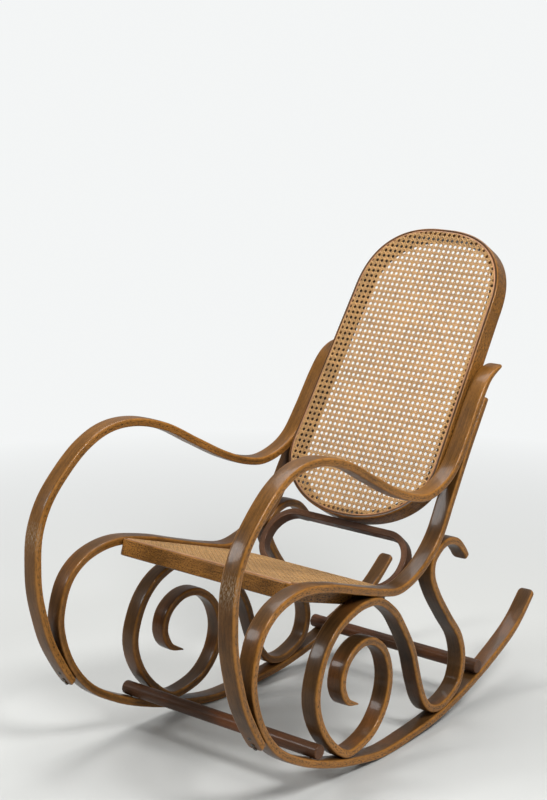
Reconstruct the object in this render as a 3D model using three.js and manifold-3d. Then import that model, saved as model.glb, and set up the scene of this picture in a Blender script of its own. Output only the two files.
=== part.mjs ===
import * as THREE from 'three';
import { mergeVertices } from 'three/addons/utils/BufferGeometryUtils.js';
import Module from 'manifold-3d';

// Bentwood rocking chair with a woven seat and back.
// Millimetres, +Z up. The sitter faces -Y, so the sitter's left side is +X.
// The origin is on the floor, halfway along the chair and halfway across it.

// Overall sizes
const sideLength = 1116;       // front of the arms to the rear ends of the runners
const sideHeight = 757;        // floor to the tips of the arms
const frontWidth = 564.6;      // over the outer faces, at the front of the arms
const rearWidth = 442.2;       // over the outer faces, at the rear ends of the runners
const fitGap = 0.3;            // between pieces that touch

// Bent side pieces: a main rail, an arm and a scroll on each side
const stripThickness = 18;
const stripWidth = 39;
const stripChamfer = 4;
const railSteps = 88;
const armSteps = 60;
const scrollSteps = 100;
const restFlatDepth = 0.35;    // flat worn on each runner where it meets the floor
const runnerEndThickness = 11;
const runnerEndReach = 120;
const hornEndThickness = 9;
const hornEndReach = 95;
const spiralEndThickness = 9;
const spiralEndReach = 55;
const endCornerRadius = 11;

// Seat. Its front and rear edges are placed by shares of the sides' length and height.
const seatFrontShares = [-0.2975, 0.5878];
const seatRearShares = [0.0331, 0.4359];
const seatFrameDepth = 35;
const seatFrameMember = 44;
const seatScrewDrop = 7;       // below the middle of the rail
const seatFrontRadius = 16;     // of its corners
const seatRearRadius = 60;
const seatInnerRadius = 12;    // the least on any inner outline

// Back. Its reference point and upper end, on its front face, are placed by such shares too.
const backShares = [0.2095, 0.8333];
const backTopShares = [0.4352, 1.3496];
const backBelowShare = 0.4978; // how far it goes below the reference point, of how far above
const backTopRise = 176;       // height of the rounded upper end
const backBottomRise = 151;    // height of the rounded lower end
const backTopSquareness = 2.45;// 2 is an ellipse
const backBottomSquareness = 2.1;
const backEndTurns = 22;
const backDepth = 44;
const backMember = 18;

// Cane and its spline, alike in seat and back
const caneThickness = 2;
const caneHolesAcross = 12;
const caneHoleShare = 0.62;    // of the distance between the middles of two holes
const splineInset = 6;         // from the frame's edge to the groove
const splineWidth = 4;
const splineDepth = 4.5;
const splineStand = 0.8;       // how far it stands out of the groove
const frameBevel = 3;

// Rear hoop: a closed ring under the back, which leans a little more than the back does
const hoopMember = 15;
const hoopDepth = 26;
const hoopSideGap = 56.2;      // to the sides' outer faces, halfway along them
const hoopHeightShare = 0.19155;   // of the sides' height
const hoopCornerShare = 0.48275;   // of the hoop's height
const hoopBevel = 2;
const hoopSetback = 21;        // of its upper front edge behind the front of the back
const hoopLean = THREE.MathUtils.degToRad(7.3);

// Stretcher rods
const rodDiameter = 30;
const rodClearance = 0.8;      // the rods lie square across the toed sides
const rodSides = 16;

// Screws. Their heads lie flush with the wood, apart from the button heads under the runners.
const screwSides = 8;
const woodScrew = { headRadius: 4.5, headHeight: 3, shankRadius: 2.2, length: 34, stand: 0 };
const buttonScrew = { headRadius: 8, headHeight: 4, shankRadius: 2.5, length: 32, stand: 4.3 };
const frameScrew = { headRadius: 4.5, headHeight: 3, shankRadius: 2.2, length: 58, stand: 0 };
const shortScrew = { headRadius: 4.5, headHeight: 3, shankRadius: 2.2, length: 27, stand: 0 };
const cutOverrun = 12;

// Run of the main rail's middle line, from the runner's rear end round the front loop,
// along the seat and up to the top of the upright: shares of the side's length, from its
// middle, and of its height.
const railShares = [
  [0.497, 0.26], [0.432, 0.178], [0.349, 0.119], [0.248, 0.067], [0.142, 0.03],
  [0.035, 0.015], [-0.048, 0.0118], [-0.117, 0.028], [-0.207, 0.061], [-0.303, 0.116],
  [-0.374, 0.182], [-0.416, 0.26], [-0.438, 0.346], [-0.441, 0.41], [-0.421, 0.499],
  [-0.39, 0.544], [-0.35, 0.568], [-0.297, 0.575], [-0.217, 0.552], [-0.135, 0.513],
  [-0.059, 0.478], [-0.008, 0.462], [0.035, 0.471], [0.085, 0.503], [0.133, 0.563],
  [0.173, 0.657], [0.225, 0.782], [0.287, 0.919],
];

// The arm lies on the loop at its lower end, then runs free, then lies on the upright
const armLoopContactShares = [0.472, 0.486];
const armFreeShares = [
  [-0.463, 0.338], [-0.479, 0.412], [-0.49, 0.489], [-0.492, 0.561], [-0.486, 0.654],
  [-0.463, 0.733], [-0.423, 0.802], [-0.37, 0.865], [-0.315, 0.898], [-0.252, 0.9],
  [-0.175, 0.868], [-0.091, 0.801], [-0.015, 0.741], [0.044, 0.707], [0.093, 0.695],
  [0.147, 0.713], [0.183, 0.746],
];
const armUprightContactShares = [0.955, 0.975, 0.993];
const armHornShares = [[0.294, 0.966], [0.315, 0.986], [0.345, 1.001]];

// The scroll starts at the tip of its spiral, touches the runner, the seat rail, the runner
// again and the rail's rear curve, and ends in an outward curl.
const spiralShares = [
  [-0.138, 0.198], [-0.168, 0.219], [-0.183, 0.267], [-0.172, 0.321], [-0.135, 0.357],
  [-0.092, 0.355], [-0.052, 0.312], [-0.034, 0.251], [-0.034, 0.201], [-0.049, 0.145],
  [-0.083, 0.095], [-0.131, 0.071],
];
const ringFootShare = 0.345;
const ringRiseShares = [
  [-0.21, 0.113], [-0.242, 0.172], [-0.259, 0.238], [-0.259, 0.291], [-0.236, 0.375],
  [-0.2, 0.429], [-0.144, 0.461], [-0.105, 0.466],
];
const ringTopShare = 0.755;
const fallShares = [
  [-0.018, 0.405], [0.011, 0.35], [0.044, 0.268], [0.058, 0.207], [0.07, 0.155],
  [0.087, 0.101], [0.11, 0.067],
];
const loopFootShare = 0.19;
const loopRiseShares = [
  [0.181, 0.069], [0.211, 0.099], [0.224, 0.164], [0.211, 0.236], [0.168, 0.317],
  [0.126, 0.402], [0.108, 0.46],
];
const tailContactShares = [0.84, 0.853];
const curlShares = [
  [0.148, 0.537], [0.165, 0.54], [0.196, 0.526], [0.219, 0.495], [0.234, 0.465],
];

// Places of screws and rods, as shares of the run of the rail or of the arm
const armFootScrewShares = [0.474, 0.4785, 0.4865];
const armTopScrewShares = [0.965, 0.986];
const seatScrewShares = [0.655, 0.745];
const backScrewShares = [0.825, 0.9];
const tailScrewShare = 0.8465;
const rodShares = [0.392, 0.119];
const hoopScrewShare = 0.3;
const backFootScrewShare = 0.12;

const wasm = await Module();
wasm.setup();

// Materials

function material(name, color, roughness, metalness = 0) {
  const made = new THREE.MeshStandardMaterial({ color, roughness, metalness });
  made.name = name;
  return made;
}

const stainedBeech = () => material('stained_beech', 0x7a4a1e, 0.35);
const darkBeech = () => material('dark_stained_beech', 0x5a3418, 0.4);
const caneWeave = () => material('woven_cane', 0xc9a876, 0.6);
const caneSpline = () => material('cane_spline', 0x9a6a42, 0.5);
const darkSteel = () => material('dark_steel', 0x3a3632, 0.45, 0.9);

// Closed solids, and their joins and cuts

function flipped(indices) {
  const turned = indices.slice();
  for (let i = 0; i < turned.length; i += 3) {
    [turned[i], turned[i + 1]] = [turned[i + 1], turned[i]];
  }
  return turned;
}

function asSolid(geometry) {
  const bare = geometry.clone();
  bare.deleteAttribute('normal');
  bare.deleteAttribute('uv');
  const welded = mergeVertices(bare);
  const vertProperties = new Float32Array(welded.attributes.position.array);
  const triVerts = new Uint32Array(welded.index.array);
  const solid = new wasm.Manifold(new wasm.Mesh({ numProp: 3, vertProperties, triVerts }));
  if (solid.volume() > 0) return solid;
  const turned = new wasm.Mesh({ numProp: 3, vertProperties, triVerts: flipped(triVerts) });
  return new wasm.Manifold(turned);
}

function asGeometry(solid) {
  const mesh = solid.getMesh();
  const geometry = new THREE.BufferGeometry();
  geometry.setAttribute('position', new THREE.BufferAttribute(mesh.vertProperties, 3));
  geometry.setIndex(new THREE.BufferAttribute(mesh.triVerts, 1));
  geometry.computeVertexNormals();
  return geometry;
}

function addPiece(group, name, solid, finish) {
  const mesh = new THREE.Mesh(asGeometry(solid), finish);
  mesh.name = name;
  group.add(mesh);
  return mesh;
}

// The sides stand in planes that come closer together towards the rear

const toe = Math.atan2((frontWidth - rearWidth) / 2, sideLength);
const middleHalfWidth = (frontWidth + rearWidth) / 4;
const hoopWidth = 2 * (middleHalfWidth - hoopSideGap);
const hoopHeight = sideHeight * hoopHeightShare;
const hoopCornerRadius = hoopHeight * hoopCornerShare;
const halfStripAcross = stripWidth / 2 / Math.cos(toe);

function outerFaceAt(y) {
  return middleHalfWidth - Math.tan(toe) * y;
}

function innerFaceAt(y) {
  return outerFaceAt(y) - 2 * halfStripAcross;
}

// Paths in a side's own plane: x is across the strip, y to the rear, z up

function sidePoint([lengthShare, heightShare]) {
  return new THREE.Vector3(0, lengthShare * sideLength, heightShare * sideHeight);
}

function smoothPath(points) {
  const path = new THREE.CatmullRomCurve3(points);
  path.arcLengthDivisions = 12 * points.length;
  return path;
}

// Outward is away from the space that the main rail goes round
function outwardAt(path, share) {
  const tangent = path.getTangentAt(share);
  return new THREE.Vector3(0, -tangent.z, tangent.y);
}

function besidePath(path, share, distance) {
  return path.getPointAt(share).addScaledVector(outwardAt(path, share), distance);
}

const layer = stripThickness + fitGap;   // from one strip's middle to the next one's

const railPath = smoothPath(railShares.map(sidePoint));

const armPath = smoothPath([
  ...armLoopContactShares.map((share) => besidePath(railPath, share, layer)),
  ...armFreeShares.map(sidePoint),
  ...armUprightContactShares.map((share) => besidePath(railPath, share, layer)),
  ...armHornShares.map(sidePoint),
]);

const scrollPath = smoothPath([
  ...spiralShares.map(sidePoint),
  besidePath(railPath, ringFootShare, -layer),
  ...ringRiseShares.map(sidePoint),
  besidePath(railPath, ringTopShare, -layer),
  ...fallShares.map(sidePoint),
  besidePath(railPath, loopFootShare, -layer),
  ...loopRiseShares.map(sidePoint),
  ...tailContactShares.map((share) => besidePath(railPath, share, -layer)),
  ...curlShares.map(sidePoint),
]);

function lowestOf(path, samples) {
  return Math.min(...path.getSpacedPoints(samples).map((point) => point.z));
}

const floorLevel = lowestOf(railPath, 4 * railSteps) - stripThickness / 2 + restFlatDepth;

// Strips of bent wood

function stripSection(width, thickness, chamfer) {
  const across = width / 2;
  const through = thickness / 2;
  const section = new THREE.Shape();
  section.moveTo(across, chamfer - through);
  section.lineTo(across, through - chamfer);
  section.lineTo(across - chamfer, through);
  section.lineTo(chamfer - across, through);
  section.lineTo(-across, through - chamfer);
  section.lineTo(-across, chamfer - through);
  section.lineTo(chamfer - across, -through);
  section.lineTo(across - chamfer, -through);
  section.closePath();
  return section;
}

// Thins a swept strip evenly over its last stretch, towards the path's start or its end
function thinnedEnd(geometry, path, steps, atStart, reach, endThickness) {
  const places = path.getSpacedPoints(steps);
  const stepLength = path.getLength() / steps;
  const near = Math.ceil(reach / stepLength);
  const first = atStart ? 0 : steps - near;
  const stretch = places.slice(first, first + near + 1);
  const position = geometry.attributes.position;
  const point = new THREE.Vector3();
  for (let i = 0; i < position.count; i += 1) {
    point.fromBufferAttribute(position, i);
    const flat = new THREE.Vector3(0, point.y, point.z);
    const distances = stretch.map((place) => place.distanceTo(flat));
    const closest = distances.indexOf(Math.min(...distances));
    const left = stepLength * (atStart ? closest : near - closest);
    if (distances[closest] > stripThickness || left >= reach) continue;
    const scale = 1 - (1 - endThickness / stripThickness) * (1 - left / reach);
    flat.sub(stretch[closest]).multiplyScalar(scale).add(stretch[closest]);
    position.setXYZ(i, point.x, flat.y, flat.z);
  }
  return geometry;
}

function sweptStrip(path, steps, width, thickness, chamfer) {
  const section = stripSection(width, thickness, chamfer);
  return new THREE.ExtrudeGeometry(section, { steps, bevelEnabled: false, extrudePath: path });
}

function bentStrip(path, steps) {
  return sweptStrip(path, steps, stripWidth, stripThickness, stripChamfer);
}

// What a neighbour of this strip must leave free
function stripRoom(path, steps) {
  const width = stripWidth + 2 * cutOverrun;
  const thickness = stripThickness + 2 * fitGap;
  return asSolid(sweptStrip(path, steps, width, thickness, fitGap));
}

// The waste outside a strip's rounded end corners, seen square to its wide face
function endWaste(path, atStart) {
  const share = atStart ? 0 : 1;
  const end = path.getPointAt(share);
  const alongOut = path.getTangentAt(share).multiplyScalar(atStart ? -1 : 1);
  const half = stripWidth / 2;
  const over = half + cutOverrun;
  const waste = new THREE.Shape();
  waste.moveTo(-over, -endCornerRadius);
  waste.lineTo(-half, -endCornerRadius);
  waste.absarc(endCornerRadius - half, -endCornerRadius, endCornerRadius, Math.PI, Math.PI / 2, true);
  waste.lineTo(half - endCornerRadius, 0);
  waste.absarc(half - endCornerRadius, -endCornerRadius, endCornerRadius, Math.PI / 2, 0, true);
  waste.lineTo(over, -endCornerRadius);
  waste.lineTo(over, cutOverrun);
  waste.lineTo(-over, cutOverrun);
  waste.closePath();
  const depth = 2 * stripThickness;
  const geometry = new THREE.ExtrudeGeometry(waste, { depth, bevelEnabled: false, curveSegments: 3 });
  geometry.translate(0, 0, -depth / 2);
  const basis = new THREE.Matrix4();
  const across = new THREE.Vector3(1, 0, 0);
  const through = new THREE.Vector3().crossVectors(across, alongOut);
  basis.makeBasis(across, alongOut, through).setPosition(end);
  return asSolid(geometry.applyMatrix4(basis));
}

// Screws and the holes they sit in. A screw points down its own -Y, its head's top at zero.

const headToTip = new THREE.Vector3(0, -1, 0);

function turned(profile) {
  const points = profile.map(([radius, height]) => new THREE.Vector2(radius, height));
  return asSolid(new THREE.LatheGeometry(points, screwSides));
}

function screwSolid({ headRadius, headHeight, shankRadius, length }) {
  const tipLength = 2 * shankRadius;
  return turned([
    [0, 0],
    [headRadius, 0],
    [headRadius, -headHeight],
    [shankRadius, -headHeight],
    [shankRadius, tipLength - length],
    [0, -length],
  ]);
}

function holeSolid({ headRadius, headHeight, shankRadius, length }) {
  return turned([
    [0, cutOverrun],
    [headRadius + fitGap, cutOverrun],
    [headRadius + fitGap, -headHeight - fitGap],
    [shankRadius + fitGap, -headHeight - fitGap],
    [shankRadius + fitGap, -length - fitGap],
    [0, -length - fitGap],
  ]);
}

function addScrew(group, name, surfacePoint, direction, kind) {
  const mesh = addPiece(group, name, screwSolid(kind), darkSteel());
  mesh.position.copy(surfacePoint).addScaledVector(direction, -kind.stand);
  mesh.quaternion.setFromUnitVectors(headToTip, direction);
  return { mesh, kind };
}

// Cuts the holes of these screws into a solid that is drawn in the group's own frame
function drilled(solid, group, screws) {
  const toGroup = group.matrixWorld.clone().invert();
  return screws.reduce((left, { mesh, kind }) => {
    const place = toGroup.clone().multiply(mesh.matrixWorld);
    return left.subtract(holeSolid(kind).transform(place.elements));
  }, solid);
}

// Groups: the whole chair, its two sides, the seat and the back

const chair = new THREE.Group();
chair.position.z = -floorLevel;

function sideGroup(side) {
  const group = new THREE.Group();
  group.position.x = side * (middleHalfWidth - halfStripAcross);
  group.rotation.z = side * toe;
  chair.add(group);
  return group;
}

const seatFront = sidePoint(seatFrontShares);
const seatRun = sidePoint(seatRearShares).sub(seatFront);
const seatSlope = Math.atan2(-seatRun.z, seatRun.y);
const seatLength = seatRun.length();
const seat = new THREE.Group();
seat.position.copy(seatFront);
seat.rotation.x = -seatSlope;
chair.add(seat);

const backMiddle = sidePoint(backShares);
const backRun = sidePoint(backTopShares).sub(backMiddle);
const recline = Math.atan2(backRun.y, backRun.z);
const backAbove = backRun.length();
const backBelow = backAbove * backBelowShare;
const back = new THREE.Group();
back.position.copy(backMiddle);
back.rotation.x = Math.PI / 2 - recline;
chair.add(back);

const hoop = new THREE.Group();
hoop.position.set(0, -backBelow - fitGap, -hoopSetback);
hoop.rotation.x = -hoopLean;
back.add(hoop);

// Screws of one side, in the side's own frame

function inwardAt(path, share) {
  return outwardAt(path, share).negate();
}

function armScrews(group, word) {
  const face = stripThickness / 2;
  const foot = armFootScrewShares.map((share, i) => {
    const start = besidePath(railPath, share, layer + face);
    return addScrew(group, `${word}_arm_foot_screw_${i + 1}`, start, inwardAt(railPath, share), shortScrew);
  });
  const top = armTopScrewShares.map((share, i) => {
    const start = besidePath(railPath, share, -face);
    return addScrew(group, `${word}_arm_top_screw_${i + 1}`, start, outwardAt(railPath, share), shortScrew);
  });
  return [...foot, ...top];
}

function scrollScrews(group, word) {
  const face = stripThickness / 2;
  const ringFoot = besidePath(railPath, ringFootShare, face);
  const ringTop = besidePath(railPath, ringTopShare, -layer - face);
  const loopFoot = besidePath(railPath, loopFootShare, face);
  const tail = besidePath(railPath, tailScrewShare, -layer - face);
  return [
    addScrew(group, `${word}_ring_foot_screw`, ringFoot, inwardAt(railPath, ringFootShare), shortScrew),
    addScrew(group, `${word}_ring_top_screw`, ringTop, outwardAt(railPath, ringTopShare), shortScrew),
    addScrew(group, `${word}_loop_foot_screw`, loopFoot, inwardAt(railPath, loopFootShare), buttonScrew),
    addScrew(group, `${word}_tail_screw`, tail, outwardAt(railPath, tailScrewShare), shortScrew),
  ];
}

function rodScrews(group, word) {
  return rodShares.map((share, i) => {
    const start = besidePath(railPath, share, stripThickness / 2);
    const place = ['front', 'rear'][i];
    return addScrew(group, `${word}_${place}_rod_screw`, start, inwardAt(railPath, share), woodScrew);
  });
}

// Screws driven outwards across the side, from the inner wall of the seat frame or the back
function seatScrews(group, side, word) {
  const outward = new THREE.Vector3(side, 0, 0);
  return seatScrewShares.map((share, i) => {
    const start = besidePath(railPath, share, -seatScrewDrop);
    start.x = -side * (stripWidth / 2 + fitGap + seatFrameMember);
    const place = ['front', 'rear'][i];
    return addScrew(group, `${word}_${place}_seat_screw`, start, outward, frameScrew);
  });
}

function backScrews(group, side, word) {
  const outward = new THREE.Vector3(side, 0, 0);
  return backScrewShares.map((share, i) => {
    const start = armPath.getPointAt(share);
    start.x = -side * (stripWidth / 2 + fitGap + backMember);
    const place = ['lower', 'upper'][i];
    return addScrew(group, `${word}_${place}_back_screw`, start, outward, woodScrew);
  });
}

// Outlines of the seat and the back are functions of how far they are drawn in from the edge

function plate(outline, inset, thickness, bevel = 0) {
  const shape = new THREE.Shape(outline(inset + bevel));
  const depth = thickness - 2 * bevel;
  const options = { depth, bevelEnabled: bevel > 0, bevelThickness: bevel, bevelSize: bevel, bevelSegments: 1 };
  const geometry = new THREE.ExtrudeGeometry(shape, options);
  geometry.translate(0, 0, bevel - thickness);
  return asSolid(geometry);
}

function ring(outline, from, to, thickness) {
  const shape = new THREE.Shape(outline(from));
  shape.holes.push(new THREE.Path(outline(to)));
  const geometry = new THREE.ExtrudeGeometry(shape, { depth: thickness, bevelEnabled: false });
  geometry.translate(0, 0, -thickness);
  return asSolid(geometry);
}

function raised(solid, height) {
  return solid.translate([0, 0, height]);
}

// A frame whose top is at zero, with a groove for the spline
function groovedFrame(outline, member, thickness) {
  const opening = raised(plate(outline, member, thickness + 2 * cutOverrun), cutOverrun);
  const groove = ring(outline, splineInset, splineInset + splineWidth, splineDepth + cutOverrun);
  return plate(outline, 0, thickness, frameBevel).subtract(opening).subtract(raised(groove, cutOverrun));
}

function splineRing(outline) {
  const from = splineInset + fitGap;
  const to = splineInset + splineWidth - fitGap;
  return raised(ring(outline, from, to, splineDepth - fitGap + splineStand), splineStand);
}

// Whether a point lies inside an outline that is convex and runs counterclockwise
function isWithin(outline, { x, y }) {
  return outline.every((here, i) => {
    const next = outline[(i + 1) % outline.length];
    return (next.x - here.x) * (y - here.y) > (next.y - here.y) * (x - here.x);
  });
}

// Square holes on a plain grid, clear of the frame, for the open mesh of the woven cane
function caneHoles(outline, member) {
  const clear = outline(member);
  const room = new THREE.Box2().setFromPoints(clear);
  const { x: width, y: height } = room.getSize(new THREE.Vector2());
  const rows = Math.round(caneHolesAcross * height / width);
  const pitch = new THREE.Vector2(width / caneHolesAcross, height / rows);
  const [x, y] = pitch.clone().multiplyScalar(caneHoleShare).toArray();
  const hole = wasm.Manifold.cube([x, y, caneThickness + 2 * cutOverrun], true);
  const middles = Array.from({ length: caneHolesAcross * rows }, (_, i) => {
    const column = i % caneHolesAcross;
    const place = new THREE.Vector2(column + 0.5, (i - column) / caneHolesAcross + 0.5);
    return place.multiply(pitch).add(room.min);
  });
  const corners = [[-x, -y], [-x, y], [x, y], [x, -y]].map(([right, up]) => new THREE.Vector2(right / 2, up / 2));
  const open = middles.filter((middle) => corners.every((corner) => isWithin(clear, corner.clone().add(middle))));
  return wasm.Manifold.union(open.map((middle) => hole.translate([middle.x, middle.y, -caneThickness / 2])));
}

function caneSheet(outline, member) {
  const inset = splineInset + splineWidth + fitGap;
  const sheet = plate(outline, inset, caneThickness).subtract(caneHoles(outline, member));
  return raised(sheet, fitGap + caneThickness);
}

function quarterCircle(x, y, radius, start, turns) {
  return Array.from({ length: turns + 1 }, (_, i) => {
    const angle = start + (i / turns) * (Math.PI / 2);
    return new THREE.Vector2(x + radius * Math.cos(angle), y + radius * Math.sin(angle));
  });
}

// Four rounded corners, counterclockwise from the sitter's left one at the front
function seatOutline(inset) {
  const halfAt = (along) => innerFaceAt(seatFront.y + along * Math.cos(seatSlope)) - fitGap - inset;
  const front = Math.max(seatFrontRadius - inset, seatInnerRadius);
  const rear = Math.max(seatRearRadius - inset, seatInnerRadius);
  const frontPlace = inset + front;
  const rearPlace = seatLength - inset - rear;
  const frontHalf = halfAt(frontPlace) - front;
  const rearHalf = halfAt(rearPlace) - rear;
  const turns = 6;
  return [
    ...quarterCircle(frontHalf, frontPlace, front, -Math.PI / 2, turns),
    ...quarterCircle(rearHalf, rearPlace, rear, 0, turns),
    ...quarterCircle(-rearHalf, rearPlace, rear, Math.PI / 2, turns),
    ...quarterCircle(-frontHalf, frontPlace, front, Math.PI, turns),
  ];
}

function hoopOutline(inset) {
  const radius = hoopCornerRadius - inset;
  const half = hoopWidth / 2 - inset - radius;
  const top = -inset - radius;
  const foot = inset + radius - hoopHeight;
  const turns = 10;
  return [
    ...quarterCircle(half, foot, radius, -Math.PI / 2, turns),
    ...quarterCircle(half, top, radius, 0, turns),
    ...quarterCircle(-half, top, radius, Math.PI / 2, turns),
    ...quarterCircle(-half, foot, radius, Math.PI, turns),
  ];
}

// Half the back's width where it passes between the arms, at its rear face
function backHalfWidthAt(up) {
  const rear = backMiddle.y + up * Math.sin(recline) + backDepth * Math.cos(recline);
  return innerFaceAt(rear) - fitGap;
}

// A superellipse's upper half, from its right end to its left one
function roundedEnd(half, rise, squareness) {
  return Array.from({ length: backEndTurns + 1 }, (_, i) => {
    const angle = (i / backEndTurns) * Math.PI;
    const across = Math.abs(Math.cos(angle)) ** (2 / squareness) * Math.sign(Math.cos(angle));
    const up = Math.abs(Math.sin(angle)) ** (2 / squareness);
    return new THREE.Vector2(half * across, rise * up);
  });
}

function backOutline(inset) {
  const shoulder = backAbove - backTopRise;
  const hip = backBottomRise - backBelow;
  const upper = roundedEnd(backHalfWidthAt(shoulder) - inset, backTopRise - inset, backTopSquareness);
  const lower = roundedEnd(backHalfWidthAt(hip) - inset, backBottomRise - inset, backBottomSquareness);
  return [
    ...upper.map((point) => new THREE.Vector2(point.x, shoulder + point.y)),
    ...lower.map((point) => new THREE.Vector2(-point.x, hip - point.y)),
  ];
}

// Pieces

function buildSide(side, word) {
  const group = sideGroup(side);
  chair.updateMatrixWorld(true);
  const arm = armScrews(group, word);
  const scroll = scrollScrews(group, word);
  const rods = rodScrews(group, word);
  const seatOnes = seatScrews(group, side, word);
  const backOnes = backScrews(group, side, word);
  chair.updateMatrixWorld(true);

  const railShape = thinnedEnd(bentStrip(railPath, railSteps), railPath, railSteps,
    true, runnerEndReach, runnerEndThickness);
  const floorCut = new THREE.BoxGeometry(2 * stripWidth, sideLength, stripThickness);
  floorCut.translate(0, 0, floorLevel - stripThickness / 2);
  const railScrews = [...arm, ...scroll, ...rods, ...seatOnes];
  const rail = asSolid(railShape).subtract(asSolid(floorCut)).subtract(endWaste(railPath, true));
  addPiece(group, `${word}_main_rail`, drilled(rail, group, railScrews), stainedBeech());

  const railRoom = stripRoom(railPath, railSteps);
  const armShape = thinnedEnd(bentStrip(armPath, armSteps), armPath, armSteps,
    false, hornEndReach, hornEndThickness);
  const armSolid = asSolid(armShape).subtract(railRoom)
    .subtract(endWaste(armPath, true)).subtract(endWaste(armPath, false));
  addPiece(group, `${word}_arm`, drilled(armSolid, group, [...arm, ...backOnes]), stainedBeech());

  const scrollShape = thinnedEnd(bentStrip(scrollPath, scrollSteps), scrollPath, scrollSteps,
    true, spiralEndReach, spiralEndThickness);
  const scrollSolid = asSolid(scrollShape).subtract(railRoom).subtract(endWaste(scrollPath, false));
  addPiece(group, `${word}_scroll`, drilled(scrollSolid, group, scroll), stainedBeech());
  return { rods, seatOnes, backOnes };
}

function buildSeat(screws) {
  const frame = groovedFrame(seatOutline, seatFrameMember, seatFrameDepth);
  addPiece(seat, 'seat_frame', drilled(frame, seat, screws), stainedBeech());
  addPiece(seat, 'seat_cane', caneSheet(seatOutline, seatFrameMember), caneWeave());
  addPiece(seat, 'seat_spline', splineRing(seatOutline), caneSpline());
}

// Two screws go forwards through the hoop's lower bar, and two upwards through its upper bar
function hoopScrews() {
  const placed = [1, -1].map((side) => {
    const word = side > 0 ? 'left' : 'right';
    const half = side * hoopWidth / 2;
    const low = new THREE.Vector3(half * hoopScrewShare, hoopMember / 2 - hoopHeight, -hoopDepth);
    const high = new THREE.Vector3(half * backFootScrewShare, -hoopMember, -hoopDepth / 2);
    return {
      low: addScrew(hoop, `${word}_hoop_screw`, low, new THREE.Vector3(0, 0, 1), woodScrew),
      high: addScrew(hoop, `${word}_back_foot_screw`, high, new THREE.Vector3(0, 1, 0), shortScrew),
    };
  });
  return { low: placed.map((pair) => pair.low), high: placed.map((pair) => pair.high) };
}

function buildHoop({ low, high }) {
  const opening = raised(plate(hoopOutline, hoopMember, hoopDepth + 2 * cutOverrun), cutOverrun);
  const bent = plate(hoopOutline, 0, hoopDepth, hoopBevel).subtract(opening);
  addPiece(hoop, 'rear_hoop', drilled(bent, hoop, [...low, ...high]), darkBeech());
}

function buildBack(screws) {
  const frame = groovedFrame(backOutline, backMember, backDepth);
  addPiece(back, 'back_hoop', drilled(frame, back, screws), stainedBeech());
  addPiece(back, 'back_cane', caneSheet(backOutline, backMember), caneWeave());
  addPiece(back, 'back_spline', splineRing(backOutline), caneSpline());
}

function buildRod(name, share, screws) {
  const away = stripThickness / 2 + rodDiameter / 2 + rodClearance;
  const place = besidePath(railPath, share, -away);
  const y = place.y * Math.cos(toe);
  const length = 2 * outerFaceAt(y);
  const rod = new THREE.CylinderGeometry(rodDiameter / 2, rodDiameter / 2, length, rodSides);
  rod.rotateZ(Math.PI / 2);
  rod.translate(0, y, place.z);
  addPiece(chair, name, drilled(asSolid(rod), chair, screws), darkBeech());
}

const hoopOnes = hoopScrews();
const left = buildSide(1, 'left');
const right = buildSide(-1, 'right');
buildSeat([...left.seatOnes, ...right.seatOnes, ...hoopOnes.low]);
buildHoop(hoopOnes);
buildBack([...left.backOnes, ...right.backOnes, ...hoopOnes.high]);
buildRod('front_rod', rodShares[0], [left.rods[0], right.rods[0]]);
buildRod('rear_rod', rodShares[1], [left.rods[1], right.rods[1]]);

export default chair;
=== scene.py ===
"""Bentwood rocking chair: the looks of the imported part, laid out as an add-on and run as a script.

Every piece is a surface worked out with numpy in metres, in the part's own frame: +Z up, the
sitter faces -Y, the sitter's left is +X, and the origin is on the floor under the chair.
"""
import math

import bpy
import numpy as np
from bpy.props import FloatProperty, FloatVectorProperty, IntProperty, PointerProperty
from mathutils import Matrix, Vector


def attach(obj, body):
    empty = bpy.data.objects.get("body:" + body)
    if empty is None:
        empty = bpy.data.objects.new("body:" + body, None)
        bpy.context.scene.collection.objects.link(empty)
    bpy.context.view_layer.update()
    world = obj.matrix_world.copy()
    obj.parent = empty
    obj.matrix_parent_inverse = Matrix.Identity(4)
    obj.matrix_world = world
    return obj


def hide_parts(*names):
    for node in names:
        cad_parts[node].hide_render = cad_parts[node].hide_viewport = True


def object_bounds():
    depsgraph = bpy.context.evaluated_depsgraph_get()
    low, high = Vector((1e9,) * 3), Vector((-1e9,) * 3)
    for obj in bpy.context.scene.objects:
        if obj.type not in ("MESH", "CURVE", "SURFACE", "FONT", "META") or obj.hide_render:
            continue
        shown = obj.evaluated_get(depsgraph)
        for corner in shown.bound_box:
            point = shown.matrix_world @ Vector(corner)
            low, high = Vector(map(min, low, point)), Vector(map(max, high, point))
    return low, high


bl_info = {
    "name": "Bentwood rocking chair",
    "version": (1, 0, 0),
    "blender": (4, 5, 0),
    "location": "3D View > Sidebar > Rocking chair",
    "description": "Builds the visible pieces of a bentwood rocking chair round its packed part",
    "category": "Add Mesh",
}

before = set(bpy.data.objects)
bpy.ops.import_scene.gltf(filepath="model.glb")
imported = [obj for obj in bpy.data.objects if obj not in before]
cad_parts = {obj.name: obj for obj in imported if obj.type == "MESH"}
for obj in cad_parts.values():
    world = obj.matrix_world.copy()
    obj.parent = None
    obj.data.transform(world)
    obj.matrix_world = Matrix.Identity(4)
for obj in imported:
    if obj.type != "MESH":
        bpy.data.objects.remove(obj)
CAD_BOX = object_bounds()
MM = 0.001

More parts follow.
